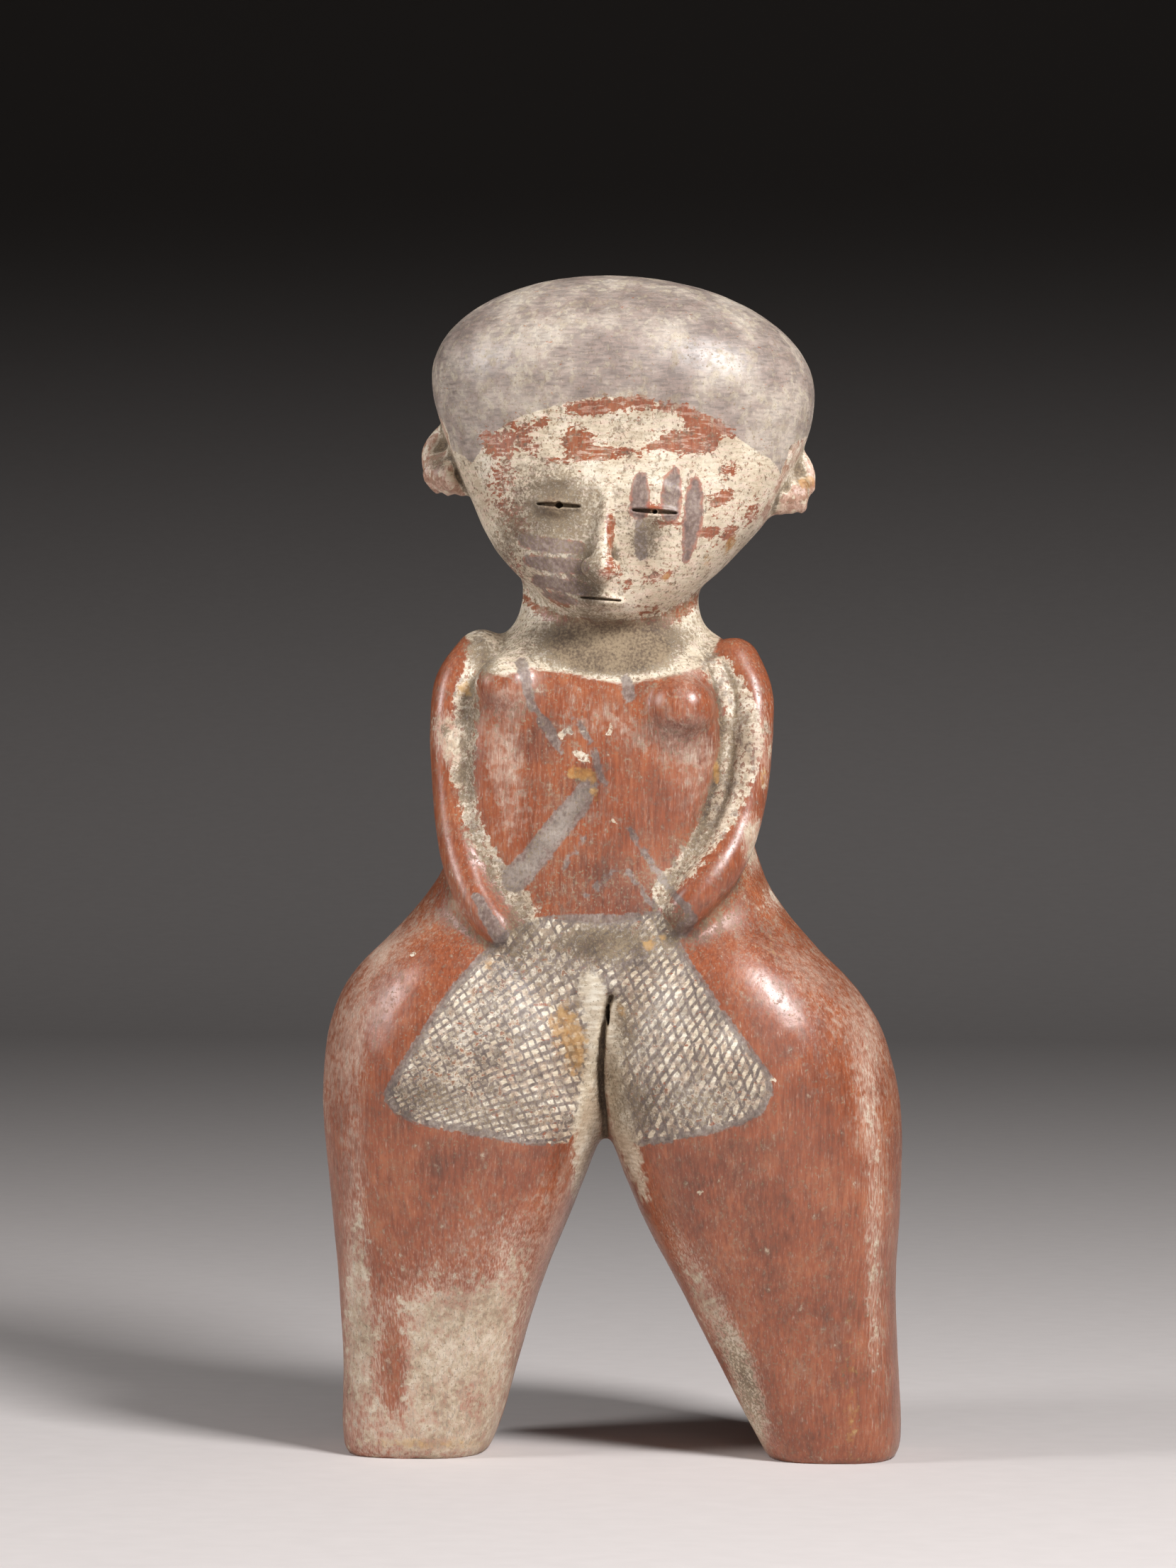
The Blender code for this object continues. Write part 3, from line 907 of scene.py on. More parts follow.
    # Earth and painted shade: the chin's shadow on the neck, the shaded right half of the face and the shaded
    # right trough.
    dirt_and_painted_shade: tuple[Spot, ...] = (
        (-24, 563, 24, 22, 0, 0.9), (-14, 524, 10, 22, 0, 0.95), (20, 541, 13, 13, 0, 0.85),
        (-45, 575, 24, 30, 0, 0.6), (-46, 530, 32, 40, 0, 0.5), (-12, 504, 20, 12, 0, 0.5),
        (24, 552, 16, 8, 0, 0.5), (-66, 540, 10, 22, -20, 0.45), (-78, 473, 9, 16, 25, 1.3),
        (-85, 440, 7, 20, 0, 0.9), (-86, 398, 6, 26, 0, 0.8), (76, 432, 10, 18, -8, 0.55),
        (72, 400, 9, 14, -20, 0.45), (4, 483, 44, 13, 4, 2.0), (-1, 475, 34, 12, 0, 2.2),
        (-24, 488, 22, 10, 0, 0.8), (-55, 478, 16, 12, 20, 0.5), (-56, 318, 10, 16, 0, 1.0),
        (38, 318, 10, 10, 0, 0.9), (0, 300, 40, 14, 0, 0.85), (2, 470, 40, 8, 0, 0.8),
        (-15, 306, 50, 10, 0, 0.5), (-110, 210, 26, 14, 0, 0.6), (12, 205, 14, 22, 0, 0.7),
        (-60, 200, 30, 14, 0, 0.5), (8, 250, 9, 26, 0, 0.7), (50, 205, 34, 12, 0, 0.45),
        (-104, 590, 6, 10, 0, 0.8), (108, 588, 8, 6, 0, 0.4), (72, 60, 10, 34, 25, 0.7),
        (83, 25, 10, 26, 15, 0.8), (-84, 352, 4, 8, 0, 0.5), (32, 498, 12, 5, 20, 0.5),
        (95, 42, 2.6, 2.2, 0, 1.6),
    )
    lime: tuple[Spot, ...] = (
        (-104, 44, 66, 62, 0, 0.72), (-90, 52, 30, 40, -10, 0.3), (-94, 8, 66, 16, 0, 0.35),
        (-130, 48, 9, 32, 0, -0.6), (-84, 30, 9, 11, 20, -0.45), (-100, 66, 7, 6, 0, -0.3),
        (-112, 14, 12, 7, 0, -0.3), (-64, 92, 14, 38, -24, 0.45), (-152, 96, 8, 70, 0, 0.55),
        (-92, 84, 30, 14, 0, 0.25), (58, 86, 9, 50, 26, 0.6), (82, 30, 9, 40, 14, 0.8),
        (156, 120, 6, 90, 0, 0.4), (152, 220, 8, 40, 0, 0.3), (84, 362, 7, 18, 0, 0.9),
        (100, 332, 9, 14, -40, 0.5), (-100, 428, 8, 14, 0, 0.7), (-95, 415, 6, 12, 0, 0.6),
        (90, 420, 7, 26, 0, 0.5), (-62, 126, 16, 20, 0, 0.2),
    )
    # Pale powder on the slip, and painted light: a pale sheen on hips and flanks and a lightened chest.
    haze_and_sheen: tuple[Spot, ...] = (
        (-150, 262, 14, 60, -18, 0.9), (-154, 170, 8, 90, 0, 0.8), (-130, 300, 22, 14, 45, 0.7),
        (-100, 320, 26, 16, 30, 0.5), (130, 268, 26, 44, 30, 0.6), (150, 210, 10, 60, 0, 0.6),
        (96, 300, 40, 14, -38, 0.6), (-60, 150, 60, 40, 0, 0.25), (-66, 430, 14, 34, 0, 0.6),
        (-60, 448, 13, 12, 0, 0.6), (20, 425, 30, 14, -20, 0.8), (-20, 440, 24, 20, 0, 0.5),
        (50, 468, 18, 16, 0, 1.0), (56, 398, 22, 40, 0, 0.75), (40, 440, 16, 20, 0, 0.5),
        (-90, 110, 40, 34, 0, 0.5), (-45, 128, 20, 34, -24, 0.4), (60, 110, 24, 50, 26, 0.3),
        (-64, 404, 14, 30, 0, 0.75), (-10, 380, 34, 22, 0, 0.4), (-60, 372, 12, 20, -30, 0.6),
        (120, 60, 36, 60, 0, 0.2),
    )
    # Painted shade under the breasts and down the turning sides of the legs, and darker patches of the red
    # slip on belly and thighs.
    shade: tuple[Spot, ...] = (
        (-2, 333, 38, 22, 0, 1.1), (-46, 420, 20, 12, 0, 1.3), (42, 424, 20, 11, -10, 1.5),
        (52, 418, 12, 12, 0, 1.1), (-24, 392, 20, 14, 0, 0.6), (-96, 180, 34, 26, 0, 0.4),
        (70, 172, 34, 20, 0, 0.5), (-40, 358, 20, 14, 0, 0.3), (130, 120, 10, 110, 0, 0.3),
        (84, 130, 14, 60, 14, 0.4), (-60, 170, 60, 16, 0, 0.3), (46, 150, 12, 30, 24, 0.5),
        (-118, 220, 8, 40, -20, 0.4),
    )
    ochre: tuple[Spot, ...] = (
        (-20, 404, 7, 4, 0, 1.3), (-11, 402, 6, 3, -20, 1.0), (-10, 392, 3, 8, 0, 0.7),
        (24, 302, 9, 3, 30, 1.2), (-26, 250, 12, 20, 24, 0.8), (-22, 232, 7, 12, 0, 0.6),
        (116, 577, 5, 4, 0, 1.3), (70, 540, 4, 7, -30, 0.8), (33, 521, 4, 2, 0, 1.0),
        (62, 404, 2.5, 8, 0, 1.0), (-88, 454, 5, 6, 0, 0.8), (-73, 289, 4, 4, 0, 0.7),
        (56, 530, 3, 6, -40, 0.6), (38, 449, 20, 8, 0, 0.2), (90, 402, 3, 7, 0, 0.6),
        (92, 300, 16, 10, -40, 0.35), (142, 30, 8, 70, 0, 0.35), (-110, 4, 50, 4, 0, 0.6),
        (5, 262, 5, 9, 0, 0.5),
    )
    pale_spots: tuple[Spot, ...] = (
        (-1.5, 429, 2.2, 2.6, 0, 1.6), (-29, 427, 5, 2.6, 0, 1.1), (0.6, 376.5, 4.4, 3.0, -30, 0.9),
        (28.6, 331, 5, 8, 20, 1.3), (-18, 413, 8, 4.5, -30, 0.95), (95, 222, 1.8, 1.8, 0, 1.8),
        (-26, 430, 3, 5, 20, 0.7), (12, 352, 8, 8, 0, 0.4), (46.5, 152.5, 4, 0.5, 26, 1.2),
        (54, 155, 5, 0.5, 26, 1.2), (-119, 296, 2, 1, 0, 1.3),
    )
    dark_spots: tuple[Spot, ...] = (
        (-20.4, 401, 1.8, 1.8, 0, 1.5), (-100, 430, 3.2, 4.6, 0, 1.1), (86.7, 269.5, 2.2, 0.9, -30, 1.8),
        (-47, 360, 4, 6, 0, 0.5), (5, 262, 4, 10, 0, 0.7), (12, 614, 2.2, 1.6, 0, 0.9),
        (3.5, 609.5, 2.0, 1.6, 0, 0.8), (92, 430, 3, 4, 0, 0.7), (68, 330, 4, 3, 0, 0.3),
        (-118, 602, 3, 3, 0, 0.6),
    )
    net_wear: tuple[Spot, ...] = (
        (-100, 215, 34, 26, 0, 1.1), (-70, 262, 24, 30, 40, 0.8), (-30, 292, 44, 16, 0, 1.0),
        (-40, 200, 30, 14, 0, 0.7), (50, 208, 44, 16, 0, 0.9), (10, 306, 24, 12, 0, 0.8),
        (16, 240, 12, 40, 0, 0.6), (-88, 245, 14, 12, 0, 0.9),
    )

    def net(self, seen: np.ndarray) -> tuple[np.ndarray, np.ndarray]:
        """Counts the net's two families of lines across each thigh, so that whole numbers fall on lines.

        Args:
            seen: One row of x and z for each vertex.

        Returns:
            The two counts for each vertex.
        """
        families = []
        # Each thigh's middle, the slants and pitches of its two families, and how much the first fans out.
        sides = (
            (-70.0, 235.0, (26.0, -64.0), (4.7, 5.0), -0.006),
            (30.0, 250.0, (51.0, -68.0), (4.9, 6.6), 0.004),
        )
        right = seen[:, 0] + 0.28 * np.maximum(seen[:, 1] - 268.0, 0.0) < -6.5
        for family in (0, 1):
            counts = []
            for x, z, angles, pitches, fan in sides:
                turn = math.radians(angles[family])
                across, up = seen[:, 0] - x, seen[:, 1] - z
                along = across * math.cos(turn) + up * math.sin(turn)
                over = up * math.cos(turn) - across * math.sin(turn)
                counts.append(over * (1.0 + (fan if family == 0 else 0.0) * along) / pitches[family])
            families.append(np.where(right, *counts))
        return families[0], families[1]

    def hollows(self, mesh: bpy.types.Mesh, passes: int) -> np.ndarray:
        """How far each vertex lies below its wider surroundings, in millimetres.

        Args:
            mesh: The mesh.
            passes: How wide the surroundings reach, in passes of averaging.

        Returns:
            One depth for each vertex.
        """
        edges, places = edges_of(mesh), places_of(mesh)
        smooth = places.copy()
        for _ in range(passes):
            smooth = neighbour_mean(smooth, edges)
        return np.einsum("ij,ij->i", smooth - places, normals_of(mesh))

    def measure(self, mesh: bpy.types.Mesh) -> None:
        """Writes every zone to the mesh as an attribute, mostly as a depth in millimetres inside its edge.

        Args:
            mesh: The mesh.
        """
        places, normals = places_of(mesh), normals_of(mesh)
        seen, y, z = FRONT.seen(places), places[:, 1], places[:, 2]
        front = smooth_step(-y, -6.0, 4.0)
        behind = 1.0 - smooth_step(-y, -22.0, 22.0)
        off = 60.0 * (1.0 - front)
        in_head = HEAD.to_head(places)

        def line(path: Path, rear: Path) -> np.ndarray:
            """The height of a line on the head at each vertex, drawn for the front and for the back."""
            return (1.0 - behind) * np.interp(seen[:, 0], *np.array(path).T) + behind * np.interp(
                places[:, 0], *np.array(rear).T
            )

        def strokes(paths: tuple[Path, ...]) -> np.ndarray:
            """How deep each vertex lies inside the nearest of some strokes, on the front alone."""
            return np.max([inside_stroke(seen, path) for path in paths], axis=0) - off

        def spots(marks: tuple[Spot, ...]) -> np.ndarray:
            """The sum of some soft blots at each vertex, on the front alone."""
            return blots(seen, marks) * front

        def deepest(*depths: np.ndarray) -> np.ndarray:
            """The greatest of some depths at each vertex."""
            return np.max(depths, axis=0)

        temple = np.interp(
            in_head[:, 2], (-82.0, -60.0, -45.0, -30.0, -18.0), (86.0, 92.5, 98.0, 103.5, 118.0)
        )
        ears = (np.abs(in_head[:, 0] - 1.0) > temple) & (in_head[:, 2] > -82.0) & (np.abs(y) < 30.0)
        # Painted sheen: surfaces below the hands that face sideways are made paler.
        side_sheen = smooth_step(np.abs(normals[:, 0]), 0.6, 0.97) * (z < 330)
        low = 1.0 - smooth_step(z, 0.0, 60.0)
        net_across, net_along = self.net(seen)
        brow, cheek, sash = strokes(self.brow_strokes), strokes(self.cheek_strokes), strokes((self.sash,))
        hollow, crease = self.hollows(mesh, 30), self.hollows(mesh, 5)
        # A zone holds where its value is above nought, before the material's noises move its edge.
        zones = {
            "cap": seen[:, 1] - line(self.hairline, self.nape_line) - 40.0 * ears,
            "head": seen[:, 1] - line(self.neckline, ((-90, 484), (90, 484))),
            "ear": ears.astype(float) * 30.0 - 15.0,
            "ear_groove": crease,
            # The rubbed zone also carries the painted shadow under the chin, as bared red slip.
            "rubbed": deepest(spots(self.rubbed) - 0.42, 0.16 * strokes((self.chin_shadow_band,))),
            "red_strokes": deepest(brow, cheek),
            "grey_strokes": deepest(
                0.6 * (brow - 2.2), 0.7 * (cheek - 0.8), strokes((self.under_brow,)) - 1.0, sash + 1.8,
                strokes(self.chest_lines), strokes(self.hand_strokes), strokes(self.cords) - 0.8,
            ),
            "cream_marks": deepest(
                sash - 0.6, strokes((self.right_trough, self.left_trough)),
                16.0 * (spots(self.pale_spots) - 0.6),
            ),
            "apron": depth_inside(seen, self.apron) - off,
            "apron_border": strokes(self.apron_border),
            "apron_bands": strokes((self.plain_band, self.inner_band)),
            "net_wear": spots(self.net_wear) - 0.6, "net_across": net_across, "net_along": net_along,
            # Earth and painted shade as listed, and darkening in hollows and creases, partly earth in them and
            # partly painted shade.
            "dirt_and_painted_shade": deepest(
                spots(self.dirt_and_painted_shade) - 0.65, spots(self.dark_spots) - 0.5,
                0.25 * (hollow - 1.4), 3.0 * (crease - 0.24),
            ),
            "lime": 1.9 * spots(self.lime) + 0.7 * low * (1.0 - front) - 1.05,
            # Pale powder, and painted sheen on the sideways flanks and round the back.
            "haze_and_sheen": spots(self.haze_and_sheen) + 0.5 * side_sheen + 0.2 * (1.0 - front) - 0.8,
            # The shade zone is mostly painted shade on the red slip.
            "shade": spots(self.shade) - 0.4, "ochre": spots(self.ochre) - 0.55,
        }
        for name, values in zones.items():
            mesh.attributes.new(name, "FLOAT", "POINT").data.foreach_set("value", values.astype(np.float32))


class Grain(Enum):
    """The noises shared by all coats: the size of their features along x, y and z in millimetres, and a seed.

    The stone's real scratches are under half a millimetre wide and too fine to show, so BURNISH and STREAK
    draw them about three times as coarse.
    """

    DUST = (1.5, 1.5, 1.5, 1.0)
    GRIT = (2.4, 2.4, 2.6, 2.0)
    CRUMB = (4.0, 4.0, 4.4, 3.0)
    PATCH = (8.0, 8.0, 9.0, 4.0)
    CLOUD = (26.0, 26.0, 30.0, 5.0)
    BURNISH = (1.7, 1.7, 20.0, 6.0)
    STREAK = (0.9, 0.9, 6.0, 7.0)
    BRUSH = (9.0, 9.0, 1.8, 8.0)
    FLAKE = (4.4, 4.4, 2.0, 9.0)


@dataclass(frozen=True)
class Coat:
    """One coat on the clay, named where it is mixed for its material and making.

    Attributes:
        shades: Its deep, usual and pale colours.
        roughness: How matt it dried.
        strokes: The grain of its brush or burnishing strokes.
        swing: How strongly strokes and clouds turn its colour.
    """

    shades: tuple[str, str, str]
    roughness: float
    strokes: Grain
    swing: float = 1.0


@dataclass
class CoatedClay:
    """The figure's one material, laid coat over coat as the surface was painted, burnished, used and buried.

    The red slip was rubbed with a stone, so it shines softly along its strokes. The cream and grey coats on it
    are thin and rubbed through. Soil and lime lie matt in the hollows and on the lower legs. Painted shade
    lies under the breasts and the chin and on the right side, and a painted sheen pales the flanks.
    """

    name: str = "slip_painted_earthenware"
    red_slip: Coat = Coat(("#6A3725", "#935034", "#B06D4A"), 0.3, Grain.BURNISH, 0.5)
    dark_slip_and_shade: Coat = Coat(("#573124", "#714030", "#875039"), 0.4, Grain.BURNISH)
    cream_slip: Coat = Coat(("#BBA88F", "#D5C6AE", "#EFE6D4"), 0.52, Grain.BRUSH)
    grey_slip: Coat = Coat(("#7F716A", "#A1948B", "#C4BBB0"), 0.4, Grain.BRUSH, 0.9)
    grey_paint: Coat = Coat(("#584B46", "#75665F", "#968A82"), 0.5, Grain.GRIT)
    red_edge: Coat = Coat(("#7C3F31", "#9A5847", "#B27860"), 0.48, Grain.GRIT)
    dust: Coat = Coat(("#B78D7A", "#CFAE9A", "#E2CFBD"), 0.55, Grain.STREAK)
    soil_and_shade: Coat = Coat(("#40342A", "#675642", "#8F7D63"), 0.88, Grain.DUST)
    lime_crust: Coat = Coat(("#A3937A", "#C8B99F", "#DFD3BE"), 0.82, Grain.CRUMB)
    ochre_stain: Coat = Coat(("#7E5A22", "#AE7C33", "#C79A55"), 0.6, Grain.CRUMB)

    def __post_init__(self) -> None:
        self.material = bpy.data.materials.new(self.name)
        self.material.use_nodes = True
        self.add = partial(put, self.material.node_tree)
        self.place = self.add("ShaderNodeTexCoord").outputs["Object"]
        self.noises = {grain: self.noise(grain) for grain in Grain}
        self.mixed: dict[Coat, bpy.types.Node] = {}
        self.colour, self.rough = self.mix_of(self.red_slip), self.red_slip.roughness

    def noise(self, grain: Grain) -> bpy.types.Node:
        """One of the shared noises, centred on nought.

        Args:
            grain: Its sizes and seed.

        Returns:
            The node that gives it.
        """
        *sizes, seed = grain.value
        scale = tuple(per_metre(size) for size in sizes)
        offset = (3.1 * seed, 1.7 * seed, 2.3 * seed)
        spread = self.add("ShaderNodeVectorMath", self.place, scale, offset, operation="MULTIPLY_ADD")
        noise = self.add("ShaderNodeTexNoise", spread, Scale=1.0, Detail=4.0, Roughness=0.58)
        return self.add("ShaderNodeMath", noise, 0.5, operation="SUBTRACT")

    def ragged(
        self, zone: str, wander: float, grain: Grain, soft: float, start: float = 0.0
    ) -> bpy.types.Node:
        """Where a zone holds, with an edge that a noise moves in and out.

        Args:
            zone: The name of the plan's zone.
            wander: How strongly the noise moves the edge, in the zone's unit.
            grain: The noise.
            soft: Half the width over which the edge fades, in the zone's unit.
            start: The depth at which the edge lies.

        Returns:
            A mask from nought to one.
        """
        depth = self.add("ShaderNodeAttribute", attribute_name=zone).outputs["Fac"]
        moved = self.add("ShaderNodeMath", self.noises[grain], wander, depth, operation="MULTIPLY_ADD")
        return self.add(
            "ShaderNodeMapRange", moved, From_Min=start - soft, From_Max=start + soft,
            interpolation_type="SMOOTHSTEP",
        )

    def specks(self, grain: Grain, rarity: float) -> bpy.types.Node:
        """Scattered specks: about a sixth of the skin at a rarity of 0.1, and a fiftieth at 0.2."""
        return self.add("ShaderNodeMapRange", self.noises[grain], From_Min=rarity, From_Max=rarity + 0.05)

    def where_all(self, *masks: object) -> object:
        """The product of masks and shares.

        Args:
            *masks: The masks and shares.

        Returns:
            The node that gives the product.
        """
        total = masks[0]
        for mask in masks[1:]:
            total = self.add("ShaderNodeMath", total, mask, operation="MULTIPLY")
        return total

    def where_not(self, mask: object, share: float = 1.0) -> bpy.types.Node:
        """The rest of a mask, or one less a share of it."""
        return self.add("ShaderNodeMath", mask, -share, 1.0, operation="MULTIPLY_ADD")

    def mix_of(self, coat: Coat) -> bpy.types.Node:
        """A coat's colour, turned by clouds and by its strokes, mixed once for each coat.

        Args:
            coat: The coat.

        Returns:
            The node that gives its colour.
        """
        if coat not in self.mixed:
            level = self.add("ShaderNodeMix", 0.55, self.noises[Grain.CLOUD], self.noises[coat.strokes])
            moved = self.add("ShaderNodeMath", level, 0.5, operation="ADD")
            ramp = self.add("ShaderNodeValToRGB", moved)
            half = 0.11 / coat.swing
            ramp.color_ramp.elements.new(0.5)
            for stop, place, shade in zip(
                ramp.color_ramp.elements, (0.5 - half, 0.5, 0.5 + half), coat.shades
            ):
                stop.position, stop.color = place, linear(shade)
            self.mixed[coat] = ramp
        return self.mixed[coat]

    def lay(self, coat: Coat, *masks: object) -> None:
        """Lays a coat where all the masks hold, over all coats before it.

        Args:
            coat: The coat.
            *masks: Masks, and shares from nought to one.
        """
        mask = self.where_all(*masks)
        self.colour = self.add("ShaderNodeMix", mask, self.colour, self.mix_of(coat), data_type="RGBA")
        self.rough = self.add("ShaderNodeMix", mask, self.rough, coat.roughness)

    def lay_slips(self) -> None:
        """The burnished red body with painted shade and sheen, the cream of head and neck, and the grey of the
        hair.
        """
        # Painted shade under the breasts and on the turning sides, in a darker slip colour.
        self.lay(self.dark_slip_and_shade, self.ragged("shade", 1.4, Grain.PATCH, 0.6), 0.7)
        self.lay(self.dark_slip_and_shade, self.specks(Grain.STREAK, 0.06), 0.12)
        # Pale powder, and painted sheen on hips and flanks and painted light on the chest.
        self.lay(self.dust, self.ragged("haze_and_sheen", 3.4, Grain.STREAK, 0.8, 0.15), 0.14)
        self.lay(self.dust, self.ragged("haze_and_sheen", 4.0, Grain.CRUMB, 0.5, 0.2), 0.42)
        self.lay(self.dust, self.ragged("haze_and_sheen", 3.4, Grain.PATCH, 0.7, 0.2), 0.3)
        self.lay(self.cream_slip, self.specks(Grain.DUST, 0.24), 0.6)
        self.lay(self.soil_and_shade, self.specks(Grain.GRIT, 0.22), 0.5)

        head = self.ragged("head", 6.0, Grain.FLAKE, 1.4)
        kept = self.where_not(self.ragged("rubbed", 2.2, Grain.FLAKE, 0.05))
        flaked = self.where_not(self.ragged("rubbed", 3.4, Grain.GRIT, 0.1, 0.18))
        worn = self.where_not(
            self.where_all(self.specks(Grain.CRUMB, 0.0), self.specks(Grain.DUST, 0.05)), 0.8
        )
        self.lay(self.cream_slip, head, kept, flaked, worn)
        self.lay(self.dust, head, self.specks(Grain.BRUSH, 0.03), 0.5)
        self.lay(self.soil_and_shade, head, self.specks(Grain.PATCH, -0.02), self.specks(Grain.GRIT, 0.07), 0.65)
        self.lay(self.soil_and_shade, head, self.specks(Grain.CRUMB, 0.13), 0.5)

        cap = self.ragged("cap", 3.0, Grain.CRUMB, 0.5)
        self.lay(self.grey_slip, cap, kept)
        self.lay(self.grey_paint, cap, self.specks(Grain.PATCH, 0.0), self.specks(Grain.BRUSH, -0.06), 0.28)
        self.lay(self.grey_paint, cap, self.specks(Grain.BRUSH, 0.08), 0.2)
        film = self.where_not(self.specks(Grain.GRIT, 0.03), 0.7)
        self.lay(self.red_edge, cap, self.specks(Grain.BRUSH, -0.02), 0.14)
        self.lay(self.lime_crust, cap, self.specks(Grain.CLOUD, 0.0), film, 0.1)
        self.lay(self.lime_crust, cap, self.specks(Grain.CLOUD, -0.04), self.specks(Grain.CRUMB, 0.03), 0.34)
        self.lay(self.lime_crust, cap, self.specks(Grain.PATCH, 0.07), film, 0.4)
        self.lay(self.lime_crust, cap, self.specks(Grain.CRUMB, 0.12), 0.45)

        ear = self.ragged("ear", 0.0, Grain.CRUMB, 2.0)
        self.lay(self.red_slip, ear, self.specks(Grain.PATCH, -0.04), 0.7)
        self.lay(self.dust, ear, self.specks(Grain.CRUMB, -0.03), 0.7)
        self.lay(self.cream_slip, ear, self.ragged("ear_groove", 0.4, Grain.GRIT, 0.08, 0.05), 0.8)

    def lay_apron(self) -> None:
        """The netted apron: a cream ground, two families of grey lines, a plain border and its worn spots."""
        ground = self.ragged("apron", 2.6, Grain.CRUMB, 0.4)
        self.lay(self.cream_slip, ground)
        self.lay(self.red_edge, ground, self.specks(Grain.CRUMB, 0.02), 0.3)
        rubbed = self.where_not(self.specks(Grain.CRUMB, 0.03), 0.6)
        for name, half_line in (("net_across", 0.22), ("net_along", 0.14)):
            count = self.add("ShaderNodeAttribute", attribute_name=name).outputs["Fac"]
            moved = self.add("ShaderNodeMath", self.noises[Grain.PATCH], 0.9, count, operation="MULTIPLY_ADD")
            gap = self.add("ShaderNodeMath", moved, 0.5, operation="PINGPONG")
            drawn = self.add("ShaderNodeMapRange", gap, From_Min=half_line + 0.05, From_Max=half_line - 0.05)
            self.lay(self.grey_paint, ground, drawn, rubbed, 0.95)
        self.lay(self.grey_paint, ground, self.specks(Grain.PATCH, 0.02), 0.45)
        rough = self.where_all(ground, self.ragged("net_wear", 3.0, Grain.PATCH, 0.4))
        self.lay(self.grey_paint, rough, 0.45)
        self.lay(self.soil_and_shade, rough, self.specks(Grain.DUST, 0.02), 0.5)
        self.lay(self.cream_slip, rough, self.specks(Grain.CRUMB, 0.05), 0.85)
        self.lay(self.red_slip, rough, self.specks(Grain.CRUMB, 0.1), 0.95)
        self.lay(self.cream_slip, rough, self.specks(Grain.GRIT, 0.1), 0.7)
        self.lay(self.red_slip, ground, self.specks(Grain.FLAKE, 0.12), 0.9)
        self.lay(self.grey_paint, self.ragged("apron_border", 3.4, Grain.GRIT, 0.5), 0.86)
        self.lay(self.cream_slip, self.ragged("apron_bands", 16.0, Grain.CRUMB, 2.6), 0.9)

    def lay_cream(self) -> None:
        """The cream of the sash and of the troughs between arms and body."""
        marks = self.ragged("cream_marks", 16.0, Grain.CRUMB, 0.9)
        self.lay(self.cream_slip, marks, self.where_not(self.specks(Grain.GRIT, 0.04), 0.8), 0.86)
        self.lay(self.grey_paint, marks, self.specks(Grain.PATCH, 0.05), 0.5)
        self.lay(self.soil_and_shade, marks, self.specks(Grain.GRIT, 0.03), 0.3)

    def lay_paint(self) -> None:
        """The strokes of the face, the lines of the chest and the cords of the apron."""
        self.lay(self.red_edge, self.ragged("red_strokes", 4.0, Grain.GRIT, 0.4), 0.86)
        self.lay(self.grey_paint, self.ragged("grey_strokes", 4.5, Grain.CRUMB, 0.7, -0.6), 0.86)

    def lay_soil(self) -> None:
        """Earth in the hollows of face, neck and troughs, and painted shade under the chin and on the shaded
        right side.
        """
        # Earth, and painted shade on the neck and on the shaded right side of face and trough.
        self.lay(self.soil_and_shade, self.ragged("dirt_and_painted_shade", 2.4, Grain.PATCH, 0.8), 0.4)
        self.lay(self.soil_and_shade, self.ragged("dirt_and_painted_shade", 4.0, Grain.CRUMB, 0.35, 0.05), 0.45)
        # Painted shadow under the chin: two deep coats where the zone is deepest, on the neck.
        self.lay(self.dark_slip_and_shade, self.ragged("dirt_and_painted_shade", 2.4, Grain.PATCH, 0.5, 1.0), 0.55)
        self.lay(self.soil_and_shade, self.ragged("dirt_and_painted_shade", 2.4, Grain.CRUMB, 0.4, 1.0), 0.6)

    def lay_age(self) -> None:
        """The lime, loose dirt and stains of long burial, with fine dark specks over the dirt and painted
        shade.
        """
        self.lay(self.dust, self.ragged("lime", 3.0, Grain.STREAK, 0.6, -0.35), 0.5)
        film = self.ragged("lime", 4.6, Grain.CRUMB, 0.3, 0.1)
        self.lay(self.lime_crust, film, 0.42)
        crust = self.ragged("lime", 6.0, Grain.PATCH, 0.3, 0.25)
        self.lay(self.lime_crust, crust, self.where_not(self.specks(Grain.GRIT, 0.02), 0.8), 0.62)
        self.lay(self.grey_paint, film, self.specks(Grain.STREAK, 0.05), 0.4)
        # Fine dark specks where the earth and the painted shade lie.
        self.lay(self.soil_and_shade, self.ragged("dirt_and_painted_shade", 5.0, Grain.DUST, 0.3, 0.2), 0.8)
        self.lay(self.ochre_stain, self.ragged("ochre", 1.6, Grain.CRUMB, 0.25), 0.6)

    def build(self) -> bpy.types.Material:
        """All the coats, and the fine relief that their strokes and grains give the light.

        Returns:
            The material.
        """
        self.lay_slips()
        self.lay_apron()
        self.lay_cream()
        self.lay_soil()
        self.lay_paint()
        self.lay_age()
        relief = self.add(
            "ShaderNodeMath", self.ragged("lime", 3.4, Grain.PATCH, 0.12), 0.08, operation="MULTIPLY"
        )
        for grain, rise in ((Grain.BURNISH, 0.012), (Grain.GRIT, 0.03), (Grain.PATCH, 0.2)):
            relief = self.add("ShaderNodeMath", self.noises[grain], rise, relief, operation="MULTIPLY_ADD")
        bumps = self.add("ShaderNodeBump", Strength=1.0, Distance=MM, Height=relief)
        shader = self.material.node_tree.nodes["Principled BSDF"]
        shader.inputs["Specular IOR Level"].default_value = 0.72
        for name, source in (("Base Color", self.colour), ("Roughness", self.rough), ("Normal", bumps)):
            outlet = next(output for output in source.outputs if output.enabled)
            self.material.node_tree.links.new(outlet, shader.inputs[name])
        return self.material


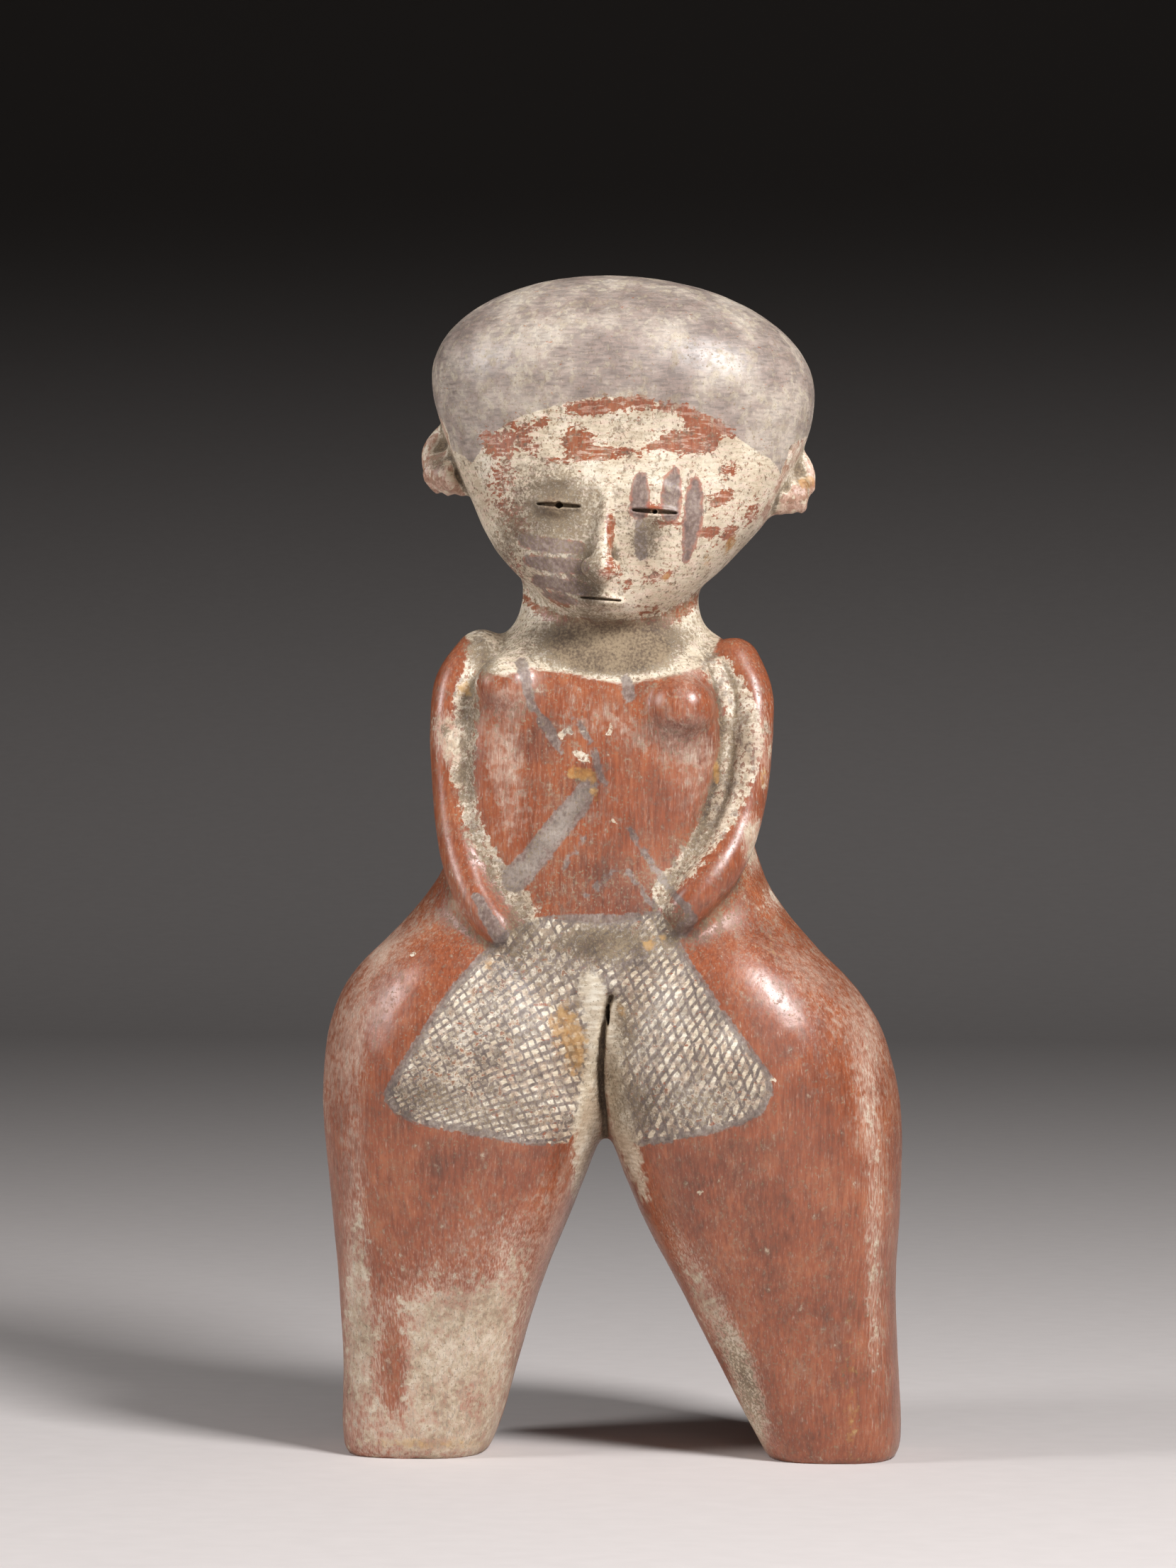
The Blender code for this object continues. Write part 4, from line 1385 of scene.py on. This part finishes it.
@dataclass
class Studio:
    """A pale sweep with painted shade towards its top, and soft lamps round the figure."""

    camera_azimuth: float = 5.0
    camera_distance: float = 3.0
    camera_height: float = 0.43
    lens: float = 115.5
    sensor: float = 36.0
    frame_width: int = 1659
    frame_height: int = 2212
    axis_pixel: tuple[float, float] = (864.0, 1028.7)

    def add_camera(self) -> None:
        """Puts the camera where the photograph was taken from, level, with the small shift of its framing."""
        data = bpy.data.cameras.new("camera")
        data.lens, data.sensor_width = self.lens, self.sensor
        longest = max(self.frame_width, self.frame_height)
        data.shift_x = (self.frame_width / 2 - self.axis_pixel[0]) / longest
        data.shift_y = (self.axis_pixel[1] - self.frame_height / 2) / longest
        camera = new_object("camera", data)
        turn = math.radians(self.camera_azimuth)
        camera.location = (
            self.camera_distance * math.sin(turn), -self.camera_distance * math.cos(turn), self.camera_height
        )
        camera.rotation_euler = (math.pi / 2, 0.0, turn)
        bpy.context.scene.camera = camera

    def add_lamp(self, name: str, place: Spot, aim: Spot, size: tuple[float, float], watts: float) -> None:
        """Adds one soft rectangular lamp.

        Args:
            name: Its name.
            place: Where it stands, in metres.
            aim: The place that it faces.
            size: Its width and height in metres.
            watts: Its power.
        """
        data = bpy.data.lights.new(name, "AREA")
        data.shape = "RECTANGLE"
        data.size, data.size_y = size
        data.energy = watts
        lamp = new_object(name, data)
        lamp.location = place
        lamp.rotation_euler = (Vector(aim) - Vector(place)).to_track_quat("-Z", "Y").to_euler()

    def add_sweep(self) -> None:
        """The pale paper floor, curving up far behind the figure and painted darker with height as painted
        shade.
        """
        skin = bmesh.new()
        radius, back, side, top = 3.0, 7.0, 9.0, 6.0
        profile = [(-5.0, 0.0), (back - radius, 0.0)]
        for step in range(1, 17):
            turn = math.pi / 2 * step / 16
            profile.append((back - radius + radius * math.sin(turn), radius - radius * math.cos(turn)))
        profile.append((back, top))
        rows = [[skin.verts.new((x, y, z)) for x in (-side, side)] for y, z in profile]
        for low, high in zip(rows, rows[1:]):
            skin.faces.new((low[0], low[1], high[1], high[0]))
        data = bpy.data.meshes.new("paper_sweep")
        skin.to_mesh(data)
        skin.free()
        data.shade_smooth()
        paper = bpy.data.materials.new("pale_backdrop_paper")
        paper.use_nodes = True
        shader = paper.node_tree.nodes["Principled BSDF"]
        grain = put(paper.node_tree, "ShaderNodeTexNoise", Scale=900.0, Detail=2.0)
        tones = {"A": linear("#D4CDCB"), "B": linear("#CCC5C3")}
        tone = put(paper.node_tree, "ShaderNodeMix", Factor=grain, data_type="RGBA", **tones)
        place = put(paper.node_tree, "ShaderNodeTexCoord").outputs["Object"]
        height = put(paper.node_tree, "ShaderNodeSeparateXYZ", place).outputs["Z"]
        # Painted shade: the paper darkens with height, standing in for the light falling off up the sweep.
        painted_falloff = put(
            paper.node_tree, "ShaderNodeMapRange", height, From_Max=1.5, interpolation_type="SMOOTHSTEP"
        )
        tone = put(paper.node_tree, "ShaderNodeMix", painted_falloff, tone, linear("#3A3532"), data_type="RGBA")
        paper.node_tree.links.new(tone.outputs[2], shader.inputs["Base Color"])
        shader.inputs["Roughness"].default_value = 0.9
        data.materials.append(paper)
        new_object("paper_sweep", data)

    def build(self) -> None:
        """Camera, lamps, sweep and a dim world."""
        self.add_camera()
        self.add_sweep()
        self.add_lamp("key", (1.35, -1.5, 2.0), (0.0, 0.0, 0.4), (0.65, 0.75), 90.0)
        self.add_lamp("side", (-2.05, -0.95, 1.45), (0.0, 0.0, 0.4), (0.6, 1.2), 33.0)
        self.add_lamp("front", (0.9, -3.2, 0.9), (0.0, 0.0, 0.36), (1.6, 1.2), 7.0)
        world = bpy.data.worlds.new("studio")
        bpy.context.scene.world = world
        world.use_nodes = True
        world.node_tree.nodes["Background"].inputs["Color"].default_value = linear("#B9B6B4")
        world.node_tree.nodes["Background"].inputs["Strength"].default_value = 0.06
        bpy.context.scene.view_settings.view_transform = "Standard"


def main() -> None:
    """Builds the figure and the studio, and reports each piece."""
    logging.basicConfig(level=logging.INFO, format="%(message)s")
    figure = ClayFigure().build(CoatedClay().build())
    PaintPlan().measure(figure.data)
    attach(figure, "root")
    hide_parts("figure")
    triangles = sum(len(face.vertices) - 2 for face in figure.data.polygons)
    log.info("%s: %d triangles", figure.name, triangles)
    Studio().build()


if __name__ == "__main__":
    main()
